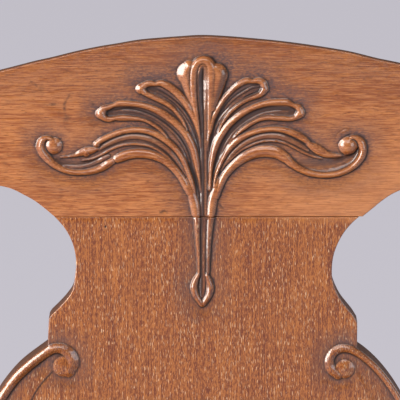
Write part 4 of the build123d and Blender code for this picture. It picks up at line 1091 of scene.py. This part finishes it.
def block_runs(bottom, top):
    """Limits of a square block whose corners are turned off at both ends."""
    corner = LEG_HALF * math.sqrt(2) + CORNER_CLEAR
    drop = corner - LEG_HALF
    out, along = CORNER_SHARES
    middle = LEG_HALF + drop * out
    return [
        [(LEG_HALF, bottom), (middle, bottom + drop * along), (corner, bottom + drop)],
        [(corner, bottom + drop), (corner, top - drop)],
        [(corner, top - drop), (middle, top - drop * along), (LEG_HALF, top)],
    ]


def leg_rings():
    """Rings of a leg as (limit radius, height, 1 where the section is square)."""
    rings = []
    for runs, square in (
        (FOOT_RUNS, 0), (block_runs(*LOWER_BLOCK), 1), (COLUMN_RUNS, 0), (block_runs(*UPPER_BLOCK), 1),
        (SUPPORT_RUNS, 0), (TENON_RUNS, 0),
    ):
        for run in runs:
            places = smooth(run, LEG_RING_STEP)
            rings.extend((radius, height, square) for radius, height in places)
    return np.array(rings)


def leg_piece(name, side):
    """Front leg and arm support, turned, with square blocks."""
    rings = leg_rings()
    angles = np.radians([turn * 90 + part for turn in range(4) for part in QUARTER])
    across, along = np.abs(np.cos(angles)), np.abs(np.sin(angles))
    square = LEG_HALF * (across ** SQUARENESS + along ** SQUARENESS) ** (-1 / SQUARENESS)
    limit = rings[:, :1]
    radius = np.where(rings[:, 2:] > 0, np.minimum(limit, square[None, :]), limit)
    x = side * LEG_MIDDLE[0] + radius * np.cos(angles)
    y = LEG_MIDDLE[1] + radius * np.sin(angles)
    z = np.repeat(rings[:, 1:2], len(angles), axis=1)
    points = np.stack([x, y, z], axis=2).reshape(-1, 3) * MM
    count = len(angles)
    faces = []
    for row in range(0, (len(rings) - 1) * count, count):
        for i in range(count):
            j = (i + 1) % count
            faces.append((row + i, row + j, row + count + j, row + count + i))
    faces.append(tuple(reversed(range(count))))
    faces.append(tuple(range(len(points) - count, len(points))))
    mesh = bpy.data.meshes.new(name)
    mesh.from_pydata(points.tolist(), [], faces)
    # Hollows of the turning are darkened: dirt and painted shade.
    window = np.ones(HOLLOW_ROWS) / HOLLOW_ROWS
    padded = np.pad(rings[:, 0], HOLLOW_ROWS // 2, mode="edge")
    around = np.convolve(padded, window, mode="valid")
    gain, start, most = LEG_DIRT_AND_SHADE
    hollow = np.clip((around - rings[:, 0]) * gain - start, 0, most) * (rings[:, 2] == 0)
    paint(mesh, "cavity", np.repeat(hollow, count))
    return piece(name, mesh)


# ---- finishes; colours as linear red, green, blue, sizes in millimetres unless noted ----

CREST_LIGHT = (0.53, 0.190, 0.054)
CREST_DARK = (0.28, 0.066, 0.005)
SPLAT_LIGHT = (0.44, 0.140, 0.024)
SPLAT_DARK = (0.155, 0.027, 0.002)
FRAME_LIGHT = (0.45, 0.150, 0.036)
FRAME_DARK = (0.20, 0.048, 0.008)
PORE_DARK = (0.10, 0.03, 0.013)
PORE_PALE = (0.75, 0.47, 0.27)
RUBBED = (0.60, 0.25, 0.10)
SOIL_COLOUR = (0.045, 0.02, 0.012)
HAZE_COLOUR = (0.10, 0.042, 0.032)
# Wax and painted shade along the strokes.
WAX_AND_SHADE_COLOUR = (0.055, 0.025, 0.019)
# Dirt and painted shade in creases.
DIRT_AND_SHADE_COLOUR = (0.012, 0.006, 0.005)
# Side walls painted dark as shade, also for their end grain.
SIDE_WALL_SHADE = (0.06, 0.03, 0.022)
PEG_TONE = 0.5                  # pegs show dark end grain
TONE_SWING = 0.12               # how much lighter or darker a piece may be
TONE_TURN = 2.1
WEAR_STRENGTH = 0.4
SEED_STEPS = (1.7, 0.9, 2.3)    # metres from one piece's grain to the next
NOISE_SPREAD = (0.3, 0.7)       # noise seldom leaves this range
TONE_SPREAD = (0.42, 0.58)      # of the grain: all dark, all light
PORE_EDGE = 0.06
PORE_SWING = 0.03               # of the pore level between patches
DASH_SPREAD = (0.36, 0.28)
DASH_TONE = 0.4
DASH_STRENGTH = 0.55
SOIL_STRENGTH = 0.55
SOIL_RAGGED = 0.10              # metres
WEAR_RAGGED = 0.12
WEAR_FULL = 0.4                 # share of the reach within which wear is full
SOIL_HEIGHTS = (0.05, 0.19)     # metres: full below, gone above
PATCH_SIZE = (40, 12, 12)
DUST_SIZE = (1.6, 0.8, 0.8)
DUST_SPREAD = (0.35, 0.65)
HAZE_PATCHES = (0.65, 1.05)     # strength of the haze in poor and rich patches
HAZE_DUST = (0.7, 1.25)
WAX_AND_SHADE_MATT = 0.4                  # gloss lost under full wax and painted shade
CARVED_BUMPS = (0.12, 0.35)     # strength of the fibres and of the tool's waves
PLAIN_BUMPS = (0.25, 0.2)
FIBRE_HEIGHT = 0.0004
TOOL_HEIGHT = 0.0005
TOOL_SIZE = (5.0, 3.0, 3.0)
FIBRE_RELIEF = 0.5
DASH_RELIEF = 0.6
ROUGHNESS = (0.40, 0.29)        # of low and of raised fibres
SIDE_ROUGHNESS = 0.7
SIDE_SHADE_STRENGTH = 0.75
COAT_IOR = 1.68
SPECULAR = 0.35
FRAME_COAT = (0.75, 0.26)
SEAT_COAT = (0.45, 0.36)        # duller, worn by use
FRAME_SHARP = math.radians(38)
WORN_ANGLE = math.radians(35)
WORN_EDGE = 0.0016              # metres
WORN_PEG = 0.0006
WELD_GAP = 0.00002
# Turn that lays the grain along each axis.
TURN = {"x": (0, 0, 0), "y": (0, 0, -math.pi / 2), "z": (0, math.pi / 2, 0)}


def node(tree, kind, **inputs):
    """Shader node with its sockets set by name or number."""
    made = tree.nodes.new(kind)
    for name, value in inputs.items():
        key = int(name[1:]) if name[0] == "i" and name[1:].isdigit() else name.replace("_", " ")
        socket = made.inputs[key]
        if isinstance(value, bpy.types.NodeSocket):
            tree.links.new(value, socket)
        else:
            socket.default_value = value
    return made


def maths(tree, operation, a, b, c=0.0, clamp=False):
    """Sum, product or other arithmetic of values and sockets."""
    made = node(tree, "ShaderNodeMath", i0=a, i1=b, i2=c)
    made.operation = operation
    made.use_clamp = clamp
    return made.outputs[0]


def ramp(tree, value, low, high, a=0.0, b=1.0):
    """Smooth change from a to b as a value goes from low to high."""
    made = node(tree, "ShaderNodeMapRange", Value=value, From_Min=low, From_Max=high, To_Min=a, To_Max=b)
    made.interpolation_type = "SMOOTHSTEP"
    return made.outputs[0]


def blend(tree, factor, a, b):
    """Mix of two colours."""
    made = tree.nodes.new("ShaderNodeMix")
    made.data_type = "RGBA"
    for number, value in ((0, factor), (6, a), (7, b)):
        if isinstance(value, bpy.types.NodeSocket):
            tree.links.new(value, made.inputs[number])
        elif number:
            made.inputs[number].default_value = (*value, 1)
        else:
            made.inputs[number].default_value = value
    return made.outputs[2]


def noise(tree, place, size, detail, rough):
    """Noise from 0 to 1; size is the length of its lumps along the grain, across and through, in mm."""
    spread = node(tree, "ShaderNodeMapping", Vector=place, Scale=tuple(1000.0 / s for s in size))
    made = node(
        tree, "ShaderNodeTexNoise", Vector=spread.outputs[0], Scale=1.0, Detail=detail, Roughness=rough,
    )
    return made.outputs["Fac"]


def attribute(tree, name):
    """Number painted on the mesh."""
    made = tree.nodes.new("ShaderNodeAttribute")
    made.attribute_name = name
    return made.outputs["Fac"]


def grain(tree, place, fibre, light, dark, thread, shares, rings):
    """Colour of the wood from broad figure, streaks and fine threads."""
    figure = noise(tree, place, rings, detail=4.0, rough=0.6)
    fine = noise(tree, place, thread, detail=2.0, rough=0.65)
    tone = maths(tree, "MULTIPLY", figure, shares[0])
    tone = maths(tree, "ADD", tone, maths(tree, "MULTIPLY", fibre, shares[1]))
    tone = maths(tree, "ADD", tone, maths(tree, "MULTIPLY", fine, shares[2]))
    return blend(tree, ramp(tree, tone, *TONE_SPREAD), dark, light)


def add_pores(tree, place, patches, colour, pore, size, level, strength):
    """Pores as dashes, thicker in some patches than in others."""
    pores = noise(tree, place, size, detail=1.0, rough=0.4)
    level = ramp(tree, patches, *NOISE_SPREAD, level + PORE_SWING, level - PORE_SWING)
    here = ramp(tree, maths(tree, "SUBTRACT", pores, level), 0.0, PORE_EDGE)
    return blend(tree, maths(tree, "MULTIPLY", here, strength), colour, pore)


def add_soil(tree, spot, patches, colour):
    """Dirt of the lowest part of the chair, from mops and shoes."""
    height = node(tree, "ShaderNodeSeparateXYZ", Vector=spot).outputs["Z"]
    ragged = maths(tree, "MULTIPLY_ADD", patches, SOIL_RAGGED, height)
    soil = ramp(tree, ragged, *SOIL_HEIGHTS, SOIL_STRENGTH, 0.0)
    return blend(tree, soil, colour, SOIL_COLOUR)


def add_wear(tree, spot, patches, colour, rubbed):
    """Paler wood round a place that hands, feet or clothes rub."""
    centre, reach = rubbed
    away = node(tree, "ShaderNodeVectorMath", i0=spot, i1=centre)
    away.operation = "DISTANCE"
    ragged = maths(tree, "MULTIPLY_ADD", patches, WEAR_RAGGED, away.outputs["Value"])
    wear = ramp(tree, ragged, reach, reach * WEAR_FULL)
    return blend(tree, maths(tree, "MULTIPLY", wear, WEAR_STRENGTH), colour, RUBBED)


def add_grime_and_shade(tree, place, patches, colour):
    """Paler ground, haze, wax, dirt and painted shade where the mesh is painted with them, and the side
    walls painted dark as shade.
    """
    pale = maths(tree, "MULTIPLY", attribute(tree, "pale"), WEAR_STRENGTH)
    colour = blend(tree, pale, colour, RUBBED)
    smoke = ramp(tree, patches, *NOISE_SPREAD, *HAZE_PATCHES)
    smoke = maths(tree, "MULTIPLY", attribute(tree, "haze"), smoke)
    dust = noise(tree, place, DUST_SIZE, detail=2.0, rough=0.6)
    smoke = maths(tree, "MULTIPLY", smoke, ramp(tree, dust, *DUST_SPREAD, *HAZE_DUST), clamp=True)
    colour = blend(tree, smoke, colour, HAZE_COLOUR)
    # Wax along the strokes, with painted shade and painted shadow.
    colour = blend(tree, attribute(tree, "wax_and_shade"), colour, WAX_AND_SHADE_COLOUR)
    # Dirt and painted shade in creases.
    colour = blend(tree, attribute(tree, "cavity"), colour, DIRT_AND_SHADE_COLOUR)
    # Side walls painted dark as shade.
    side = maths(tree, "MULTIPLY", attribute(tree, "side"), SIDE_SHADE_STRENGTH)
    return blend(tree, side, colour, SIDE_WALL_SHADE)


def polish(tree, surface, roughness, coat, carved):
    """Roughness and the coat of polish, which carved pieces lose on the side walls and where wax, dirt
    and painted shade darken them.
    """
    if carved:
        side = attribute(tree, "side")
        roughness = ramp(tree, side, 0.0, 1.0, roughness, SIDE_ROUGHNESS)
        matt = maths(tree, "MULTIPLY_ADD", attribute(tree, "wax_and_shade"), WAX_AND_SHADE_MATT, side)
        matt = maths(tree, "ADD", matt, attribute(tree, "cavity"))
        gloss = maths(tree, "SUBTRACT", coat[0], matt, clamp=True)
        tree.links.new(gloss, surface.inputs["Coat Weight"])
    tree.links.new(roughness, surface.inputs["Roughness"])
    surface.inputs["Specular IOR Level"].default_value = SPECULAR
    surface.inputs["Coat Weight"].default_value = coat[0]
    surface.inputs["Coat IOR"].default_value = COAT_IOR
    surface.inputs["Coat Roughness"].default_value = coat[1]


def texture(tree, surface, place, fibre, dashes, carved):
    """Raised fibres, open dashes and the slow waves that a hand plane leaves."""
    raised = maths(tree, "MULTIPLY", fibre, FIBRE_RELIEF)
    relief = maths(tree, "SUBTRACT", raised, maths(tree, "MULTIPLY", dashes, DASH_RELIEF))
    fine, slow = CARVED_BUMPS if carved else PLAIN_BUMPS
    bump = node(tree, "ShaderNodeBump", Height=relief, Strength=fine, Distance=FIBRE_HEIGHT)
    tooled = noise(tree, place, TOOL_SIZE, detail=1.0, rough=0.5)
    waves = node(tree, "ShaderNodeBump", Height=tooled, Strength=slow, Distance=TOOL_HEIGHT)
    tree.links.new(bump.outputs[0], waves.inputs["Normal"])
    tree.links.new(waves.outputs[0], surface.inputs["Normal"])
    tree.links.new(waves.outputs[0], surface.inputs["Coat Normal"])


def wood(
    name, along, light, dark, pore, pore_size, pore_level, pore_strength, seed, streak, thread, shares,
    carved=False, rake=0.0, dash=(3.0, 0.45, 0.45), rings=(150, 11, 11), rubbed=None, coat=(1.0, 0.13),
):
    """Waxed wood with the grain along an axis; pores are dark dashes or pale flecks.

    Sizes are in millimetres along the grain, across and through. The coat is its weight and roughness.
    """
    material = bpy.data.materials.new(name)
    material.use_nodes = True
    tree = material.node_tree
    surface = tree.nodes["Principled BSDF"]
    spot = node(tree, "ShaderNodeTexCoord").outputs["Object"]
    offset = tuple(seed * step for step in SEED_STEPS)
    lean = node(tree, "ShaderNodeMapping", Vector=spot, Location=offset, Rotation=(rake, 0.0, 0.0))
    place = node(tree, "ShaderNodeMapping", Vector=lean.outputs[0], Rotation=TURN[along]).outputs[0]
    fibre = noise(tree, place, streak, detail=3.0, rough=0.6)
    patches = noise(tree, place, PATCH_SIZE, detail=2.0, rough=0.5)
    colour = grain(tree, place, fibre, light, dark, thread, shares, rings)
    colour = add_pores(tree, place, patches, colour, pore, pore_size, pore_level, pore_strength)
    dashes = ramp(tree, noise(tree, place, dash, detail=1.0, rough=0.4), *DASH_SPREAD)
    dash_colour = tuple(c * DASH_TONE for c in dark)
    colour = blend(tree, maths(tree, "MULTIPLY", dashes, DASH_STRENGTH), colour, dash_colour)
    colour = add_soil(tree, spot, patches, colour)
    if rubbed:
        colour = add_wear(tree, spot, patches, colour, rubbed)
    if carved:
        colour = add_grime_and_shade(tree, place, patches, colour)
    tree.links.new(colour, surface.inputs["Base Color"])
    roughness = ramp(tree, fibre, *NOISE_SPREAD, *ROUGHNESS)
    polish(tree, surface, roughness, coat, carved)
    texture(tree, surface, place, fibre, dashes, carved)
    return material


def crest_wood():
    """Crest rail: grain along the rail, dark pores."""
    return wood(
        "crest_wood", "x", CREST_LIGHT, CREST_DARK, seed=1, carved=True, rake=BACK_RAKE,
        pore=PORE_DARK, pore_size=(6.0, 0.33, 0.33), pore_level=0.655, pore_strength=0.6,
        streak=(40, 1.0, 1.0), thread=(8, 0.36, 0.36), shares=(0.2, 0.24, 0.56),
    )


def splat_wood():
    """Splat: grain up the board, many pale flecks."""
    return wood(
        "splat_wood", "z", SPLAT_LIGHT, SPLAT_DARK, seed=2, carved=True, rake=BACK_RAKE,
        pore=PORE_PALE, pore_size=(3.2, 0.40, 0.40), pore_level=0.644, pore_strength=0.85,
        streak=(35, 0.55, 0.55), thread=(1.8, 0.35, 0.35), shares=(0.10, 0.36, 0.54),
        dash=(9.0, 0.34, 0.34),
    )


def plain_wood(name, along, seed, rubbed=None, turned=False):
    """Wood of the frame: broader figure than the carved boards, each piece a little different."""
    tone = PEG_TONE if name.endswith("_pegs") else 1.0 + TONE_SWING * math.sin(seed * TONE_TURN)
    light = tuple(c * tone for c in FRAME_LIGHT)
    dark = tuple(c * tone for c in FRAME_DARK)
    return wood(
        name + "_wood", along, light, dark, seed=seed, carved=turned, rubbed=rubbed,
        pore=PORE_DARK, pore_size=(5.0, 0.6, 0.6), pore_level=0.65, pore_strength=0.6,
        streak=(80, 2.6, 2.6), thread=(14, 0.7, 0.7), shares=(0.42, 0.32, 0.26), rings=(300, 14, 14),
        coat=SEAT_COAT if name.startswith("seat_board") else FRAME_COAT,
    )


FIRST_SEED = 3                  # 1 and 2 are the carved boards
LEG_SEED = 40
GRAIN = {
    "stile_left": "z", "stile_right": "z", "lower_back_rail": "x", "arm_left": "y", "arm_right": "y",
    "seat_rail_front": "x", "seat_rail_back": "x", "seat_rail_left": "y", "seat_rail_right": "y",
    "stretcher_front": "x", "stretcher_back": "x", "stretcher_left": "y", "stretcher_right": "y",
    "seat_board_front": "x", "seat_board_middle": "x", "seat_board_back": "x",
    "crest_pegs": "y", "lower_back_rail_pegs": "y", "seat_rail_pegs": "y", "stretcher_pegs": "y",
    "arm_pegs": "x", "seat_board_pegs": "z",
}
# Places worn paler by use: centre and reach in metres.
WORN_SEAT = ((0.0, -0.03, 0.445), 0.30)
WORN_PLACES = {
    "seat_board_front": WORN_SEAT, "seat_board_middle": WORN_SEAT, "seat_board_back": WORN_SEAT,
    "arm_left": ((-0.26, -0.22, 0.68), 0.26), "arm_right": ((0.26, -0.22, 0.68), 0.26),
    "stretcher_front": ((0.0, -0.24, 0.118), 0.22),
}


def smooth_group():
    """Geometry nodes that shade smooth except across sharp edges."""
    group = bpy.data.node_groups.new("smooth_by_angle", "GeometryNodeTree")
    group.interface.new_socket(name="Geometry", in_out="INPUT", socket_type="NodeSocketGeometry")
    group.interface.new_socket(name="Geometry", in_out="OUTPUT", socket_type="NodeSocketGeometry")
    start = group.nodes.new("NodeGroupInput")
    angle = group.nodes.new("GeometryNodeInputMeshEdgeAngle")
    sharp = group.nodes.new("FunctionNodeCompare")
    sharp.operation = "GREATER_THAN"
    sharp.inputs[1].default_value = FRAME_SHARP
    group.links.new(angle.outputs["Unsigned Angle"], sharp.inputs[0])
    plain = group.nodes.new("GeometryNodeRemoveAttribute")
    plain.inputs["Name"].default_value = "custom_normal"
    group.links.new(start.outputs[0], plain.inputs["Geometry"])
    faces = group.nodes.new("GeometryNodeSetShadeSmooth")
    group.links.new(plain.outputs[0], faces.inputs["Geometry"])
    edges = group.nodes.new("GeometryNodeSetShadeSmooth")
    edges.domain = "EDGE"
    edges.inputs["Shade Smooth"].default_value = False
    group.links.new(faces.outputs[0], edges.inputs["Geometry"])
    group.links.new(sharp.outputs[0], edges.inputs["Selection"])
    end = group.nodes.new("NodeGroupOutput")
    group.links.new(edges.outputs[0], end.inputs[0])
    return group


def finish_frame():
    """Finish and worn edges for every CAD node that shows."""
    group = smooth_group()
    for number, (name, along) in enumerate(sorted(GRAIN.items())):
        part = NODES[name]
        part.data.materials.clear()
        part.data.materials.append(plain_wood(name, along, number + FIRST_SEED, WORN_PLACES.get(name)))
        weld = part.modifiers.new("weld", "WELD")
        weld.merge_threshold = WELD_GAP
        worn = part.modifiers.new("worn", "BEVEL")
        worn.width = WORN_PEG if name.endswith("_pegs") else WORN_EDGE
        worn.segments = 3
        worn.angle_limit = WORN_ANGLE
        shade = part.modifiers.new("shade", "NODES")
        shade.node_group = group


# ---- setting ----

def camera():
    """Camera in front of the crest rail, looking a little down."""
    lens = bpy.data.cameras.new("camera")
    lens.sensor_width = SENSOR
    lens.lens = SENSOR / 2 / (VIEW_WIDTH / 2 / CAMERA_DISTANCE)
    made = put("camera", lens)
    centre = Vector(on_back(*VIEW_CENTRE, 0))
    away = Vector((0, -math.cos(CAMERA_ELEVATION), math.sin(CAMERA_ELEVATION)))
    made.location = centre + away * CAMERA_DISTANCE
    made.rotation_euler = (math.pi / 2 - CAMERA_ELEVATION, 0, 0)
    bpy.context.scene.camera = made


# Soft lights as (name, place, size, power, colour), all aimed at the palmette.
LIGHTS = (
    ("key", (-2.35, -0.99, 1.85), (1.15, 3.0), 130, (1, 0.97, 0.92)),
    ("fill", (2.0, -1.7, 1.5), (1.4, 1.4), 16, (0.82, 0.92, 1)),
    ("back", (2.3, 1.3, 1.9), (1.6, 1.6), 14, (0.95, 0.97, 1)),
    ("front", (-0.25, -1.6, 3.0), (2.4, 1.2), 24, (1, 1, 1)),
)


def lights():
    """Key softbox high on the left, weaker ones right, behind and in front."""
    aim = Vector(on_back(0, 0, 0))
    for name, place, size, power, colour in LIGHTS:
        lamp = bpy.data.lights.new(name, "AREA")
        lamp.shape = "RECTANGLE"
        lamp.size, lamp.size_y = size
        lamp.energy = power
        lamp.color = colour
        made = put(name, lamp)
        made.location = place
        made.rotation_euler = (aim - Vector(place)).to_track_quat("-Z", "Y").to_euler()


SEEN = (0.508, 0.489, 0.543, 1)         # the camera sees the same colour as the far floor
GIVEN = (0.80, 0.80, 0.82, 1)
GIVEN_STRENGTH = 0.22
FLOOR_REACH = 60.0
FLOOR_ROUGHNESS = 0.8
FLOOR_COLOUR = (0.6, 0.58, 0.62, 1)
FLOOR_GLOW = (0.68, 0.655, 0.73, 1)
FLOOR_GLOW_SHARE = 0.7                  # for the camera and for reflections; the rest keeps shadows


def world():
    """Plain pale surround: one colour seen, softer light given."""
    made = bpy.data.worlds.new("world")
    bpy.context.scene.world = made
    made.use_nodes = True
    tree = made.node_tree
    tree.nodes.clear()
    seen = node(tree, "ShaderNodeBackground", Color=SEEN, Strength=1.0)
    given = node(tree, "ShaderNodeBackground", Color=GIVEN, Strength=GIVEN_STRENGTH)
    path = node(tree, "ShaderNodeLightPath")
    mix = node(tree, "ShaderNodeMixShader", i0=path.outputs["Is Camera Ray"])
    tree.links.new(given.outputs[0], mix.inputs[1])
    tree.links.new(seen.outputs[0], mix.inputs[2])
    out = tree.nodes.new("ShaderNodeOutputWorld")
    tree.links.new(mix.outputs[0], out.inputs[0])


def floor():
    """Very large pale floor."""
    mesh = bpy.data.meshes.new("floor")
    far = FLOOR_REACH
    corners = [(-far, -far, 0), (far, -far, 0), (far, far, 0), (-far, far, 0)]
    mesh.from_pydata(corners, [], [(0, 1, 2, 3)])
    made = put("floor", mesh)
    material = bpy.data.materials.new("floor")
    material.use_nodes = True
    tree = material.node_tree
    surface = tree.nodes["Principled BSDF"]
    surface.inputs["Base Color"].default_value = FLOOR_COLOUR
    surface.inputs["Roughness"].default_value = FLOOR_ROUGHNESS
    pale = node(tree, "ShaderNodeEmission", Color=FLOOR_GLOW, Strength=1.0)
    path = node(tree, "ShaderNodeLightPath")
    either = maths(tree, "MAXIMUM", path.outputs["Is Camera Ray"], path.outputs["Is Glossy Ray"])
    mix = node(tree, "ShaderNodeMixShader", i0=maths(tree, "MULTIPLY", either, FLOOR_GLOW_SHARE))
    tree.links.new(surface.outputs[0], mix.inputs[1])
    tree.links.new(pale.outputs[0], mix.inputs[2])
    tree.links.new(mix.outputs[0], tree.nodes["Material Output"].inputs["Surface"])
    mesh.materials.append(material)


crest = crest_piece()
crest.data.materials.append(crest_wood())
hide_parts("crest_rail")
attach(crest, "root")
splat = splat_piece()
splat.data.materials.append(splat_wood())
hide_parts("splat")
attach(splat, "root")
for leg_name, leg_side in (("front_leg_left", -1), ("front_leg_right", 1)):
    leg = leg_piece(leg_name + "_turned", leg_side)
    leg.data.materials.append(plain_wood(leg_name, "z", LEG_SEED + leg_side, turned=True))
    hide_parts(leg_name)
    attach(leg, "root")
finish_frame()
camera()
lights()
world()
floor()
bpy.context.scene.view_settings.view_transform = "Standard"
